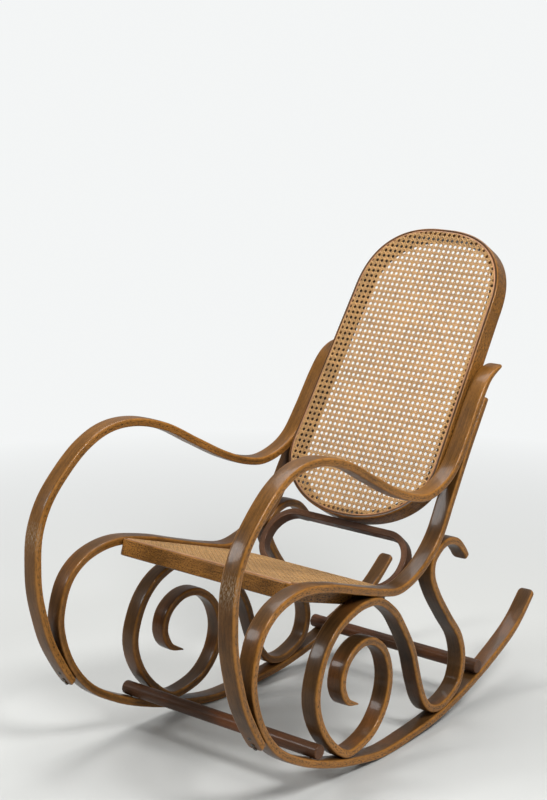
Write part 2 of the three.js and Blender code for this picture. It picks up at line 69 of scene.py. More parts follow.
# Overall sizes, alike in the part's own source
SIDE_LENGTH = 1116 * MM
SIDE_HEIGHT = 757 * MM
FRONT_WIDTH = 564.6 * MM
REAR_WIDTH = 442.2 * MM
FIT_GAP = 0.3 * MM
STRIP_THICKNESS = 18 * MM
STRIP_WIDTH = 39 * MM
REST_FLAT_DEPTH = 0.35 * MM
TOE = math.atan2((FRONT_WIDTH - REAR_WIDTH) / 2, SIDE_LENGTH)
MIDDLE_HALF_WIDTH = (FRONT_WIDTH + REAR_WIDTH) / 4
HALF_STRIP_ACROSS = STRIP_WIDTH / 2 / math.cos(TOE)
LAYER = STRIP_THICKNESS + FIT_GAP

SEAT_FRONT_PLACE, SEAT_REAR_PLACE = -0.2975 * SIDE_LENGTH, 0.0331 * SIDE_LENGTH
SEAT_FRONT_HEIGHT, SEAT_REAR_HEIGHT = 0.5878 * SIDE_HEIGHT, 0.4359 * SIDE_HEIGHT
SEAT_FRAME_DEPTH, SEAT_FRAME_MEMBER = 35 * MM, 44 * MM
SEAT_FRONT_RADIUS, SEAT_REAR_RADIUS, SEAT_INNER_RADIUS = 16 * MM, 60 * MM, 12 * MM
SEAT_RUN = SEAT_REAR_PLACE - SEAT_FRONT_PLACE
SEAT_SLOPE = math.atan2(SEAT_FRONT_HEIGHT - SEAT_REAR_HEIGHT, SEAT_RUN)
SEAT_LENGTH = SEAT_RUN / math.cos(SEAT_SLOPE)
SEAT_SCREW_DROP = 7 * MM

BACK_PLACE, BACK_HEIGHT = 0.2095 * SIDE_LENGTH, 0.8333 * SIDE_HEIGHT
BACK_TOP_PLACE, BACK_TOP_HEIGHT = 0.4352 * SIDE_LENGTH, 1.3496 * SIDE_HEIGHT
RECLINE = math.atan2(BACK_TOP_PLACE - BACK_PLACE, BACK_TOP_HEIGHT - BACK_HEIGHT)
BACK_ABOVE = math.hypot(BACK_TOP_PLACE - BACK_PLACE, BACK_TOP_HEIGHT - BACK_HEIGHT)
BACK_BELOW = 0.4978 * BACK_ABOVE
BACK_TOP_RISE, BACK_BOTTOM_RISE = 176 * MM, 151 * MM
BACK_TOP_SQUARENESS, BACK_BOTTOM_SQUARENESS = 2.45, 2.1
BACK_DEPTH, BACK_MEMBER = 44 * MM, 18 * MM

SPLINE_INSET, SPLINE_WIDTH = 6 * MM, 4 * MM
SPLINE_DEPTH, SPLINE_STAND = 4.5 * MM, 0.8 * MM

HOOP_MEMBER, HOOP_DEPTH = 15 * MM, 26 * MM
HOOP_SIDE_GAP, HOOP_HEIGHT = 56.2 * MM, SIDE_HEIGHT * 0.19155
HOOP_CORNER_RADIUS = HOOP_HEIGHT * 0.48275
HOOP_WIDTH = 2 * (MIDDLE_HALF_WIDTH - HOOP_SIDE_GAP)
HOOP_SETBACK, HOOP_LEAN = 21 * MM, math.radians(7.3)
ROD_RADIUS, ROD_CLEARANCE = 15 * MM, 0.8 * MM

# Runs of the bent strips in a side's own plane, as shares of the side's length and height
RAIL_SHARES = [
    (0.497, 0.26), (0.432, 0.178), (0.349, 0.119), (0.248, 0.067), (0.142, 0.03),
    (0.035, 0.015), (-0.048, 0.0118), (-0.117, 0.028), (-0.207, 0.061), (-0.303, 0.116),
    (-0.374, 0.182), (-0.416, 0.26), (-0.438, 0.346), (-0.441, 0.41), (-0.421, 0.499),
    (-0.39, 0.544), (-0.35, 0.568), (-0.297, 0.575), (-0.217, 0.552), (-0.135, 0.513),
    (-0.059, 0.478), (-0.008, 0.462), (0.035, 0.471), (0.085, 0.503), (0.133, 0.563),
    (0.173, 0.657), (0.225, 0.782), (0.287, 0.919),
]
ARM_LOOP_CONTACTS = (0.472, 0.486)
ARM_FREE_SHARES = [
    (-0.463, 0.338), (-0.479, 0.412), (-0.49, 0.489), (-0.492, 0.561), (-0.486, 0.654),
    (-0.463, 0.733), (-0.423, 0.802), (-0.37, 0.865), (-0.315, 0.898), (-0.252, 0.9),
    (-0.175, 0.868), (-0.091, 0.801), (-0.015, 0.741), (0.044, 0.707), (0.093, 0.695),
    (0.147, 0.713), (0.183, 0.746),
]
ARM_UPRIGHT_CONTACTS = (0.955, 0.975, 0.993)
ARM_HORN_SHARES = [(0.294, 0.966), (0.315, 0.986), (0.345, 1.001)]
SPIRAL_SHARES = [
    (-0.138, 0.198), (-0.168, 0.219), (-0.183, 0.267), (-0.172, 0.321), (-0.135, 0.357),
    (-0.092, 0.355), (-0.052, 0.312), (-0.034, 0.251), (-0.034, 0.201), (-0.049, 0.145),
    (-0.083, 0.095), (-0.131, 0.071),
]
RING_FOOT = 0.345
RING_RISE_SHARES = [
    (-0.21, 0.113), (-0.242, 0.172), (-0.259, 0.238), (-0.259, 0.291), (-0.236, 0.375),
    (-0.2, 0.429), (-0.144, 0.461), (-0.105, 0.466),
]
RING_TOP = 0.755
FALL_SHARES = [
    (-0.018, 0.405), (0.011, 0.35), (0.044, 0.268), (0.058, 0.207), (0.07, 0.155),
    (0.087, 0.101), (0.11, 0.067),
]
LOOP_FOOT = 0.19
LOOP_RISE_SHARES = [
    (0.181, 0.069), (0.211, 0.099), (0.224, 0.164), (0.211, 0.236), (0.168, 0.317),
    (0.126, 0.402), (0.108, 0.46),
]
TAIL_CONTACTS = (0.84, 0.853)
CURL_SHARES = [(0.148, 0.537), (0.165, 0.54), (0.196, 0.526), (0.219, 0.495), (0.234, 0.465)]

ARM_FOOT_SCREWS = (0.474, 0.4785, 0.4865)
ARM_TOP_SCREWS = (0.965, 0.986)
SEAT_SCREWS = (0.655, 0.745)
BACK_SCREWS = (0.825, 0.9)
TAIL_SCREW = 0.8465
ROD_PLACES = (0.392, 0.119)
HOOP_SCREW, BACK_FOOT_SCREW = 0.3, 0.12


# Settings that a user may change

class ChairSettings(bpy.types.PropertyGroup):
    edge_color: FloatVectorProperty(
        name="Edge colour", description="Varnished edges of the bent strips",
        subtype="COLOR", size=3, min=0, max=1, default=(0.255, 0.108, 0.021))
    face_color: FloatVectorProperty(
        name="Face colour", description="Wide faces of the bent strips, which hold more stain",
        subtype="COLOR", size=3, min=0, max=1, default=(0.056, 0.0272, 0.0098))
    dark_color: FloatVectorProperty(
        name="Dark colour", description="Rear hoop and stretcher rods",
        subtype="COLOR", size=3, min=0, max=1, default=(0.060, 0.027, 0.013))
    cane_color: FloatVectorProperty(
        name="Cane colour", description="Woven cane of the seat and the back",
        subtype="COLOR", size=3, min=0, max=1, default=(0.48, 0.262, 0.088))
    spline_color: FloatVectorProperty(
        name="Spline colour", description="Reed pressed into the groove round each cane panel",
        subtype="COLOR", size=3, min=0, max=1, default=(0.36, 0.17, 0.075))
    varnish: FloatProperty(
        name="Varnish", description="Strength of the clear coat over the wood",
        subtype="FACTOR", min=0, max=1, default=0.18)
    mesh_across: FloatProperty(
        name="Mesh across", description="Distance between the cane's holes across the panel",
        subtype="DISTANCE", unit="LENGTH", min=0.005, max=0.03, default=0.01295)
    mesh_up: FloatProperty(
        name="Mesh up", description="Distance between the cane's holes along the panel",
        subtype="DISTANCE", unit="LENGTH", min=0.005, max=0.03, default=0.01335)
    cane_width: FloatProperty(
        name="Cane width", description="Width of one strand of cane",
        subtype="DISTANCE", unit="LENGTH", min=0.0005, max=0.006, default=0.0026)
    strip_stations: IntProperty(
        name="Strip stations", description="Cross-sections along each metre of a bent strip",
        min=40, max=600, default=190)


def settings():
    return bpy.context.scene.rocking_chair


# Runs in a side's plane: rows of (y, z)

def smooth_run(points, pieces=48):
    """The centripetal Catmull-Rom curve through the points. Between two points it is a cubic
    whose end slopes come from chords weighted by the square root of the chords' lengths."""
    p = np.asarray(points, float)
    p = np.vstack([2 * p[0] - p[1], p, 2 * p[-1] - p[-2]])
    gap = np.sqrt(np.linalg.norm(np.diff(p, axis=0), axis=1))[:, None]
    before, here, after = gap[:-2], gap[1:-1], gap[2:]
    a, b, c, d = p[:-3], p[1:-2], p[2:-1], p[3:]
    start = ((b - a) / before - (c - a) / (before + here) + (c - b) / here) * here
    end = ((c - b) / here - (d - b) / (here + after) + (d - c) / after) * here
    t = np.linspace(0, 1, pieces, endpoint=False)[:, None, None]
    cubic = (b + start * t + (3 * (c - b) - 2 * start - end) * t ** 2
             + (2 * (b - c) + start + end) * t ** 3)
    return np.vstack([cubic.transpose(1, 0, 2).reshape(-1, 2), p[-2]])


def lengths_along(run):
    return np.concatenate([[0], np.cumsum(np.linalg.norm(np.diff(run, axis=0), axis=1))])


def run_at(run, shares):
    """Points, tangents and outward normals at shares of the run's length. Outward is away from
    the space that the main rail goes round, a quarter turn from the tangent."""
    shares = np.atleast_1d(np.asarray(shares, float))
    along = lengths_along(run)
    slope = np.gradient(run, along, axis=0)
    wanted = shares * along[-1]
    point = np.stack([np.interp(wanted, along, run[:, k]) for k in (0, 1)], -1)
    tangent = np.stack([np.interp(wanted, along, slope[:, k]) for k in (0, 1)], -1)
    tangent /= np.linalg.norm(tangent, axis=1)[:, None]
    outward = np.stack([-tangent[:, 1], tangent[:, 0]], -1)
    return point, tangent, outward


def beside(run, shares, distance):
    point, _, outward = run_at(run, shares)
    return point + distance * outward


def side_points(shares):
    return np.asarray(shares) * (SIDE_LENGTH, SIDE_HEIGHT)


RAIL_RUN = smooth_run(side_points(RAIL_SHARES))
ARM_RUN = smooth_run(np.vstack([
    beside(RAIL_RUN, ARM_LOOP_CONTACTS, LAYER), side_points(ARM_FREE_SHARES),
    beside(RAIL_RUN, ARM_UPRIGHT_CONTACTS, LAYER), side_points(ARM_HORN_SHARES)]))
SCROLL_RUN = smooth_run(np.vstack([
    side_points(SPIRAL_SHARES), beside(RAIL_RUN, RING_FOOT, -LAYER),
    side_points(RING_RISE_SHARES), beside(RAIL_RUN, RING_TOP, -LAYER),
    side_points(FALL_SHARES), beside(RAIL_RUN, LOOP_FOOT, -LAYER),
    side_points(LOOP_RISE_SHARES), beside(RAIL_RUN, TAIL_CONTACTS, -LAYER),
    side_points(CURL_SHARES)]))
FLOOR_LEVEL = RAIL_RUN[:, 1].min() - STRIP_THICKNESS / 2 + REST_FLAT_DEPTH


# Frames of reference

def in_side(points, side):
    """From a side's own frame, x across its strips, to the part's: turned by the toe about the
    upright axis, moved out to its side, and raised so that the runner rests on the floor."""
    turn = side * TOE
    x, y, z = points[..., 0], points[..., 1], points[..., 2]
    out = side * (MIDDLE_HALF_WIDTH - HALF_STRIP_ACROSS)
    return np.stack([x * math.cos(turn) - y * math.sin(turn) + out,
                     x * math.sin(turn) + y * math.cos(turn), z - FLOOR_LEVEL], -1)


def in_panel(points, place, height, tilt):
    """From a panel's own frame, x across, y up its slope and z out of its face, to the part's."""
    x, y, z = points[..., 0], points[..., 1], points[..., 2]
    return np.stack([x, place + y * math.cos(tilt) - z * math.sin(tilt),
                     height + y * math.sin(tilt) + z * math.cos(tilt) - FLOOR_LEVEL], -1)


def in_seat(points):
    return in_panel(points, SEAT_FRONT_PLACE, SEAT_FRONT_HEIGHT, -SEAT_SLOPE)


def in_back(points):
    return in_panel(points, BACK_PLACE, BACK_HEIGHT, math.pi / 2 - RECLINE)


def in_hoop(points):
    """From the rear hoop's own frame, which leans on the back's, to the part's."""
    x, y, z = points[..., 0], points[..., 1], points[..., 2]
    up = y * math.cos(HOOP_LEAN) + z * math.sin(HOOP_LEAN) - BACK_BELOW - FIT_GAP
    out = z * math.cos(HOOP_LEAN) - y * math.sin(HOOP_LEAN) - HOOP_SETBACK
    return in_back(np.stack([x, up, out], -1))


def inner_face_at(y):
    return MIDDLE_HALF_WIDTH - math.tan(TOE) * y - 2 * HALF_STRIP_ACROSS


# Meshes

def grid_faces(rows, columns, close_rows, close_columns, first=0):
    """Quads of a grid of vertices that is stored row by row; closing joins the last to the first."""
    i = np.arange(rows if close_rows else rows - 1)[:, None]
    j = np.arange(columns if close_columns else columns - 1)[None, :]
    here, after = i * columns, ((i + 1) % rows) * columns
    right = (j + 1) % columns
    quads = np.stack([here + j, here + right, after + right, after + j], -1)
    return quads.reshape(-1, 4) + first


def make_mesh(name, vertices, faces, uvs=None, marks=None, smooth=True):
    """One object from arrays of vertices and quads. uvs are per vertex; marks are named values
    per vertex. A quad whose last two corners are the same is a triangle."""
    mesh = bpy.data.meshes.new(name)
    mesh.from_pydata(vertices.reshape(-1, 3).tolist(), [],
                     [f[:3] if f[2] == f[3] else f for f in faces.tolist()])
    mesh.validate()
    if uvs is not None:
        layer = mesh.uv_layers.new(name="UVMap")
        corners = np.zeros(len(mesh.loops), int)
        mesh.loops.foreach_get("vertex_index", corners)
        layer.data.foreach_set("uv", uvs.reshape(-1, 2)[corners].astype(np.float32).ravel())
    for mark, values in (marks or {}).items():
        attribute = mesh.attributes.new(mark, "FLOAT", "POINT")
        attribute.data.foreach_set("value", np.asarray(values, np.float32).ravel())
    mesh.polygons.foreach_set("use_smooth", [smooth] * len(mesh.polygons))
    mesh.update()
    piece = bpy.data.objects.new(name, mesh)
    bpy.context.scene.collection.objects.link(piece)
    return piece


def finish_piece(piece, material, slot, *nodes):
    piece.data.materials.append(material)
    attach(piece, "root")
    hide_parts(*nodes)
    return piece


def inside_cad_box(points):
    """Points a hair outside the part's box, where a smooth curve bulges past facets, come back."""
    low, high = (np.array(corner) for corner in CAD_BOX)
    return np.clip(points, low, high)


# Bent strips

def rounded_corners(corners, radii, steps, support=0.0):
    """A closed outline with each corner replaced by an arc that touches both of its sides. The
    arc's centre lies on the corner's bisector, at the radius over the sine of half the angle.
    Support adds a point on each side, that share of the arc's reach past its end."""
    outline = []
    count = len(corners)
    for k, (corner, radius) in enumerate(zip(corners, radii)):
        here = np.array(corner, float)
        back = np.array(corners[k - 1], float) - here
        on = np.array(corners[(k + 1) % count], float) - here
        back, on = back / np.linalg.norm(back), on / np.linalg.norm(on)
        half = math.acos(np.clip(back @ on, -1, 1)) / 2
        reach = radius / math.tan(half)
        middle = here + (back + on) / np.linalg.norm(back + on) * radius / math.sin(half)
        t = np.linspace(0, 1, steps)[:, None]
        spoke = here + back * reach * (1 - t) + on * reach * t - middle
        arc = middle + spoke / np.linalg.norm(spoke, axis=1)[:, None] * radius
        if support:
            arc = np.vstack([here + back * reach * (1 + support), arc, here + on * reach * (1 + support)])
        outline.append(arc)
    return np.vstack(outline)


def strip_profile(width, thickness, radius, crown):
    """Outline of a strip's section, across and through: a rounded rectangle whose wide faces
    swell by the crown towards their middle, as the square of the distance from the edge."""
    w, t = width / 2, thickness / 2
    corners = rounded_corners([(w, -t), (w, t), (-w, t), (-w, -t)], [radius] * 4, 6)
    right, top, left, low = corners[5], corners[11], corners[17], corners[23]
    starts = [corners[0:6], corners[6:12], corners[12:18], corners[18:24]]
    spans = [(right, corners[6], 2), (top, corners[12], 8), (left, corners[18], 2), (low, corners[0], 8)]
    parts = []
    for arc, (begin, end, pieces) in zip(starts, spans):
        inner = np.linspace(0, 1, pieces + 1)[1:-1, None]
        parts += [arc, begin + (end - begin) * inner]
    outline = np.vstack(parts)
    a, b = outline[:, 0].copy(), outline[:, 1].copy()
    outline[:, 1] = b * (1 - crown / t * (a / w) ** 2)
    outline[:, 0] = a * (1 - 0.3 * crown / w * (b / t) ** 2)
    return outline


def strip_marks(outline, width, thickness, radius):
    """Marks on a section: edge is one on its narrow faces and rises towards them over the wide
    ones, as the cube of the distance from the middle; corner is one on its rounded corners."""
    across = np.abs(outline[:, 0]) - (width / 2 - radius)
    through = np.abs(outline[:, 1]) - (thickness / 2 - radius * 1.4)
    edge = np.clip(across / radius * 1.6 - 0.35, 0, 1)
    edge = np.maximum(edge, 0.34 * np.abs(outline[:, 0] / width * 2) ** 3)
    corner = np.clip(across / radius, 0, 1) * np.clip(through / radius, 0, 1)
    return edge, corner / corner.max()


END_STATIONS = np.array([0, 0.15, 0.5, 1.1, 2, 3.2, 4.8, 6.6, 8.6, 11]) * MM
PLAIN_END_REACH = 3.2 * MM
STATION_MARGIN = 2 * MM
LEAST_STATIONS = 24
HAIR = 1e-9


def stations_of(length, per_metre, reach_start, reach_end):
    """Distances along a run: even, and closer together over the last stretch at each end."""
    even = np.linspace(0, length, max(LEAST_STATIONS, int(length * per_metre)))
    keep = even[(even > reach_start + STATION_MARGIN) & (even < length - reach_end - STATION_MARGIN)]
    first = END_STATIONS[END_STATIONS <= reach_start + HAIR]
    last = (length - END_STATIONS[END_STATIONS <= reach_end + HAIR])[::-1]
    return np.concatenate([first, keep, last])


def end_factors(distance, thin_reach, thin_end, corner, lip, tip_reach=0.0, tip_end=0.0):
    """Scale of the section near an end: its thickness falls evenly over thin_reach, and again
    over tip_reach; its width follows a quarter circle at each corner; its lip is rounded."""
    thickness = np.ones_like(distance)
    if thin_reach:
        left = np.clip(distance / thin_reach, 0, 1)
        thickness *= 1 - (1 - thin_end / STRIP_THICKNESS) * (1 - left)
    if tip_reach:
        left = np.clip(distance / tip_reach, 0, 1)
        thickness *= 1 - (1 - tip_end) * (1 - left) ** 1.5
    round_lip = np.sqrt(np.clip(1 - (1 - np.clip(distance / lip, 0, 1)) ** 2, 0, 1))
    thickness *= 0.45 + 0.55 * round_lip
    width = np.ones_like(distance)
    if corner:
        gone = np.clip(corner - distance, 0, corner)
        drawn = corner - np.sqrt(np.clip(corner ** 2 - gone ** 2, 0, None))
        width = 1 - drawn / (STRIP_WIDTH / 2)
    return width, thickness


def swept(run, distances, outline, width, thickness):
    """The section carried along the run: its across stays across, its through lies along the
    run's outward normal. Gives across, and the place in the run's own plane."""
    length = lengths_along(run)[-1]
    point, _, outward = run_at(run, distances / length)
    across = outline[None, :, 0] * width[:, None]
    through = outline[None, :, 1] * thickness[:, None]
    plane = point[:, None, :] + through[..., None] * outward[:, None, :]
    return across, plane


def capped(grid, uvs, marks):
    """Closes a swept grid with one vertex at the middle of each end. Gives vertices, faces, uvs
    and marks; the faces look outwards where the section runs counterclockwise."""
    rows, columns = grid.shape[:2]
    faces = grid_faces(rows, columns, False, True)
    ends = grid[[0, -1]].mean(axis=1)
    vertices = np.vstack([grid.reshape(-1, 3), ends])
    j = np.arange(columns)
    k = (j + 1) % columns
    first, last = rows * columns, rows * columns + 1
    base = (rows - 1) * columns
    low = np.stack([np.full(columns, first), k, j, j], -1)
    high = np.stack([np.full(columns, last), base + j, base + k, base + k], -1)
    faces = np.vstack([faces, low, high])
    uvs = np.vstack([uvs.reshape(-1, 2), uvs[[0, -1]].mean(axis=1)])
    full = {}
    for name, values in marks.items():
        full[name] = np.concatenate([values.ravel(), values[[0, -1]].mean(axis=1)])
    return vertices, faces, uvs, full


def turned_over(faces):
    """Faces turned over, with a triangle's repeated corner kept last."""
    triangle = faces[:, 2] == faces[:, 3]
    over = faces[:, ::-1].copy()
    over[triangle] = faces[triangle][:, [0, 2, 1, 1]]
    return over


def outward_faces(vertices, faces):
    """Faces of a closed surface, turned over where its signed volume comes out negative."""
    a, b, c, d = (vertices[faces[:, k]] for k in range(4))
    volume = (np.einsum("ij,ij->i", a, np.cross(b, c)) + np.einsum("ij,ij->i", a, np.cross(c, d))).sum()
    return turned_over(faces) if volume < 0 else faces


STRIP_RADIUS = 4.2 * MM
STRIP_CROWN = 0.75 * MM
END_CORNER = 11 * MM
RUNNER_END = dict(thin_reach=120 * MM, thin_end=11 * MM, corner=END_CORNER, lip=3 * MM)
UPRIGHT_END = dict(thin_reach=0, thin_end=0, corner=0, lip=2 * MM)
ARM_FOOT_END = dict(thin_reach=60 * MM, thin_end=15 * MM, corner=END_CORNER, lip=3 * MM)
HORN_END = dict(thin_reach=95 * MM, thin_end=9 * MM, corner=END_CORNER, lip=2 * MM,
                tip_reach=30 * MM, tip_end=0.25)
SPIRAL_END = dict(thin_reach=55 * MM, thin_end=9 * MM, corner=0, lip=2 * MM,
                  tip_reach=26 * MM, tip_end=0.4)
TAIL_END = dict(thin_reach=70 * MM, thin_end=13 * MM, corner=END_CORNER, lip=3 * MM)

# Each scuff is its middle and its spread, as shares of the run. Warmth is how far the wide faces
# go towards the edge colour, low down and high up. The last setting is the share of it that the
# edges facing the middle of the chair lose: painted shade, as those edges lie in shadow.
ARM_SCUFFS = [(0.235, 0.017)]
STRIPS = {
    "main_rail": dict(run=RAIL_RUN, start=RUNNER_END, end=UPRIGHT_END, worn=[],
                      warmth=(0.1, 0.3), inward_painted_shade=0.6),
    "arm": dict(run=ARM_RUN, start=ARM_FOOT_END, end=HORN_END, worn=ARM_SCUFFS,
                warmth=(0.35, 0.9), inward_painted_shade=0.1),
    "scroll": dict(run=SCROLL_RUN, start=SPIRAL_END, end=TAIL_END, worn=[],
                   warmth=(0.0, 0.2), inward_painted_shade=0.7),
}
WARM_HEIGHTS = (0.2, 0.6)


def strip_surface(run, start, end, worn, warmth, inward_painted_shade, side):
    """Vertices, faces, uvs and marks of one bent strip. Its uvs are metres along it and round it;
    its mark worn rises smoothly from nothing to one at each scuffed stretch of its front, warm
    goes from its first to its second warmth with height, and its edge that faces the middle of
    the chair loses the given share of its edge mark and half that share of its corner mark:
    painted shade on the inward edges."""
    length = lengths_along(run)[-1]
    reach = [shape["corner"] or PLAIN_END_REACH for shape in (start, end)]
    distances = stations_of(length, settings().strip_stations, *reach)
    outline = strip_profile(STRIP_WIDTH, STRIP_THICKNESS, STRIP_RADIUS, STRIP_CROWN)
    width_1, thickness_1 = end_factors(distances, **start)
    width_2, thickness_2 = end_factors(length - distances, **end)
    across, plane = swept(run, distances, outline, width_1 * width_2, thickness_1 * thickness_2)
    local = np.concatenate([across[..., None], plane], -1)
    points = in_side(local, side)
    points[..., 2] = np.maximum(points[..., 2], 0)
    edge, corner = strip_marks(outline, STRIP_WIDTH, STRIP_THICKNESS, STRIP_RADIUS)
    round_it = lengths_along(np.vstack([outline, outline[:1]]))[:-1]
    shape = across.shape
    uvs = np.stack([np.broadcast_to(distances[:, None], shape), np.broadcast_to(round_it, shape)], -1)
    scuff = sum([np.exp(-((distances / length - place) / spread) ** 2) for place, spread in worn],
                np.zeros_like(distances))
    front = np.clip(outline[:, 1] / STRIP_THICKNESS * 4, 0, 1)
    out = np.abs(points[..., 0])
    hidden = np.clip((out.mean(axis=1, keepdims=True) - out) / STRIP_WIDTH * 3, 0, 1)
    # The edge and corner marks of the inward edges are lowered here as painted shade.
    marks = {
        "edge": edge * (1 - inward_painted_shade * hidden), "corner": corner * (1 - 0.5 * inward_painted_shade * hidden),
        "worn": scuff[:, None] * front[None, :], "warm": np.interp(points[..., 2], WARM_HEIGHTS, warmth),
    }
    vertices, faces, uvs, marks = capped(points, uvs, marks)
    return inside_cad_box(vertices), outward_faces(vertices, faces), uvs, marks


# Panels: frames, splines and woven cane

def quarter_circles(corners, turns):
    """Outline of rounded corners. Each corner is its circle's middle and radius; the circles
    turn by a quarter each, and the first starts pointing down."""
    middles, radii = corners[:, None, :2], corners[:, None, 2:]
    angles = (np.arange(4)[:, None] - 1 + np.linspace(0, 1, turns + 1)) * math.pi / 2
    return (middles + radii * np.stack([np.cos(angles), np.sin(angles)], -1)).reshape(-1, 2)


def seat_outline(inset, turns=16):
    """Outline of the seat drawn in by inset, counterclockwise from the front left; the sides
    follow the rails, so they come closer towards the rear."""
    front_radius = max(SEAT_FRONT_RADIUS - inset, SEAT_INNER_RADIUS)
    rear_radius = max(SEAT_REAR_RADIUS - inset, SEAT_INNER_RADIUS)

    def half_at(along):
        return inner_face_at(SEAT_FRONT_PLACE + along * math.cos(SEAT_SLOPE)) - FIT_GAP - inset

    front, rear = inset + front_radius, SEAT_LENGTH - inset - rear_radius
    front_half, rear_half = half_at(front) - front_radius, half_at(rear) - rear_radius
    corners = [[front_half, front, front_radius], [rear_half, rear, rear_radius],
               [-rear_half, rear, rear_radius], [-front_half, front, front_radius]]
    return quarter_circles(np.array(corners), turns)


def hoop_outline(inset, turns=24):
    """Outline of the rear hoop drawn in by inset, its top at zero."""
    radius = HOOP_CORNER_RADIUS - inset
    half, top, foot = HOOP_WIDTH / 2 - inset - radius, -inset - radius, inset + radius - HOOP_HEIGHT
    corners = [[half, foot, radius], [half, top, radius], [-half, top, radius], [-half, foot, radius]]
    return quarter_circles(np.array(corners), turns)


def back_half_width_at(up):
    rear = BACK_PLACE + up * math.sin(RECLINE) + BACK_DEPTH * math.cos(RECLINE)
    return inner_face_at(rear) - FIT_GAP


def rounded_end(half, rise, squareness, turns):
    """The upper half of a superellipse: the powers of its two shares of half and rise add to one."""
    angle = np.linspace(0, math.pi, turns + 1)
    across = np.abs(np.cos(angle)) ** (2 / squareness) * np.sign(np.cos(angle))
    return np.stack([half * across, rise * np.abs(np.sin(angle)) ** (2 / squareness)], -1)


def back_outline(inset, turns=88):
    """Outline of the back drawn in by inset: two rounded ends joined by straight sides."""
    shoulder, hip = BACK_ABOVE - BACK_TOP_RISE, BACK_BOTTOM_RISE - BACK_BELOW
    upper = rounded_end(back_half_width_at(shoulder) - inset, BACK_TOP_RISE - inset,
                        BACK_TOP_SQUARENESS, turns)
    lower = rounded_end(back_half_width_at(hip) - inset, BACK_BOTTOM_RISE - inset,
                        BACK_BOTTOM_SQUARENESS, turns)
    side = np.linspace(0, 1, 26)[1:-1, None]
    upper_left, lower_left = upper[-1] + (0, shoulder), -lower[0] + (0, hip)
    left = upper_left + (lower_left - upper_left) * side
    right = (left * (-1, 1))[::-1]
    return np.vstack([upper + (0, shoulder), left, -lower + (0, hip), right])


SPLINE_GAP = 0.3 * MM
SPLINE_CROWN = 0.5 * MM
FRAME_RADII = np.array([3, 3, 0.6, 0.3, 0.3, 0.6, 1.5, 2]) * MM
SPLINE_RADII = np.array([0.3, 1.6, 1.6, 0.3]) * MM
CANE_INSET = 7.8 * MM
BACK_HOLE = (3.3 * MM, -17 * MM)         # a hole of the back's cane, in its panel's frame


def frame_profile(member, depth):
    """Section of a panel's frame, as inset and height: a rectangle whose face has the groove for
    the spline, every corner rounded."""
    groove, far = SPLINE_INSET, SPLINE_INSET + SPLINE_WIDTH
    corners = np.array([(0, -depth), (0, 0), (groove, 0), (groove, -SPLINE_DEPTH), (far, -SPLINE_DEPTH),
                        (far, 0), (member, 0), (member, -depth)])
    return rounded_corners(corners, FRAME_RADII, 5, 0.5)


def spline_profile():
    """Section of the spline: it fills the groove and stands a little proud, with a round back."""
    low, high = SPLINE_INSET + SPLINE_GAP, SPLINE_INSET + SPLINE_WIDTH - SPLINE_GAP
    bottom, top = SPLINE_GAP - SPLINE_DEPTH, SPLINE_STAND + SPLINE_CROWN
    corners = [(low, bottom), (low, top), (high, top), (high, bottom)]
    return rounded_corners(corners, SPLINE_RADII, 6)


def frame_marks(outline, profile, member):
    """Marks of a frame: edge is one on its outer wall, corner is one on the rounding before it,
    and inner is one in its groove and on the wall that faces the cane, where the wood material
    paints shade into these recesses. Each fades over a few mm."""
    inset, height = profile[:, 0], profile[:, 1]
    edge = np.clip(1.6 - inset / MM, 0, 1) * np.clip(-height / MM, 0, 1)
    corner = np.clip(1 - np.hypot(inset - 1 * MM, height + 1 * MM) / (2 * MM), 0, 1)
    wall = np.clip((inset - (member - 2 * MM)) / MM, 0, 1)
    below_face = np.clip(-1 - height / MM, 0, 1) * (inset > 5 * MM)
    shape = (len(profile), len(outline(0.0)))
    marks = {"edge": edge, "corner": corner, "inner": np.clip(wall + below_face, 0, 1)}
    return {name: np.broadcast_to(values[:, None], shape) for name, values in marks.items()}


def ring_surface(outline, profile, place):
    """A closed ring: each point of the profile, inset and height, carried round the outline
    drawn in by that inset. Its uvs are metres round it and across it."""
    loops = np.stack([np.column_stack([outline(inset), np.full(len(outline(inset)), height)])
                      for inset, height in profile])
    around = lengths_along(np.vstack([outline(0.0), outline(0.0)[:1]]))[:-1]
    over = lengths_along(np.vstack([profile, profile[:1]]))[:-1]
    shape = loops.shape[:2]
    uvs = np.stack([np.broadcast_to(around, shape), np.broadcast_to(over[:, None], shape)], -1)
    vertices = inside_cad_box(place(loops).reshape(-1, 3))
    faces = grid_faces(*shape, True, True)
    return vertices, outward_faces(vertices, faces), uvs


def chords(outline, normal, offsets):
    """Where lines across a convex outline enter and leave it. A line is every point whose part
    along the normal is its offset; the answer is measured along the line's own direction."""
    direction = np.array([-normal[1], normal[0]])
    here, there = outline, np.roll(outline, -1, axis=0)
    a = (here @ normal)[None, :] - offsets[:, None]
    b = (there @ normal)[None, :] - offsets[:, None]
    crosses = (a * b) < 0
    share = np.where(crosses, a / np.where(crosses, a - b, 1), 0)
    along = (here @ direction)[None, :] * (1 - share) + (there @ direction)[None, :] * share
    low = np.where(crosses, along, np.inf).min(axis=1)
    high = np.where(crosses, along, -np.inf).max(axis=1)
    return low, high, direction


STRAND_DIVE = 3 * MM       # over which a strand comes out of the spline
STATION_CLASH, STATION_SHIFT = 0.2 * MM, 0.4 * MM


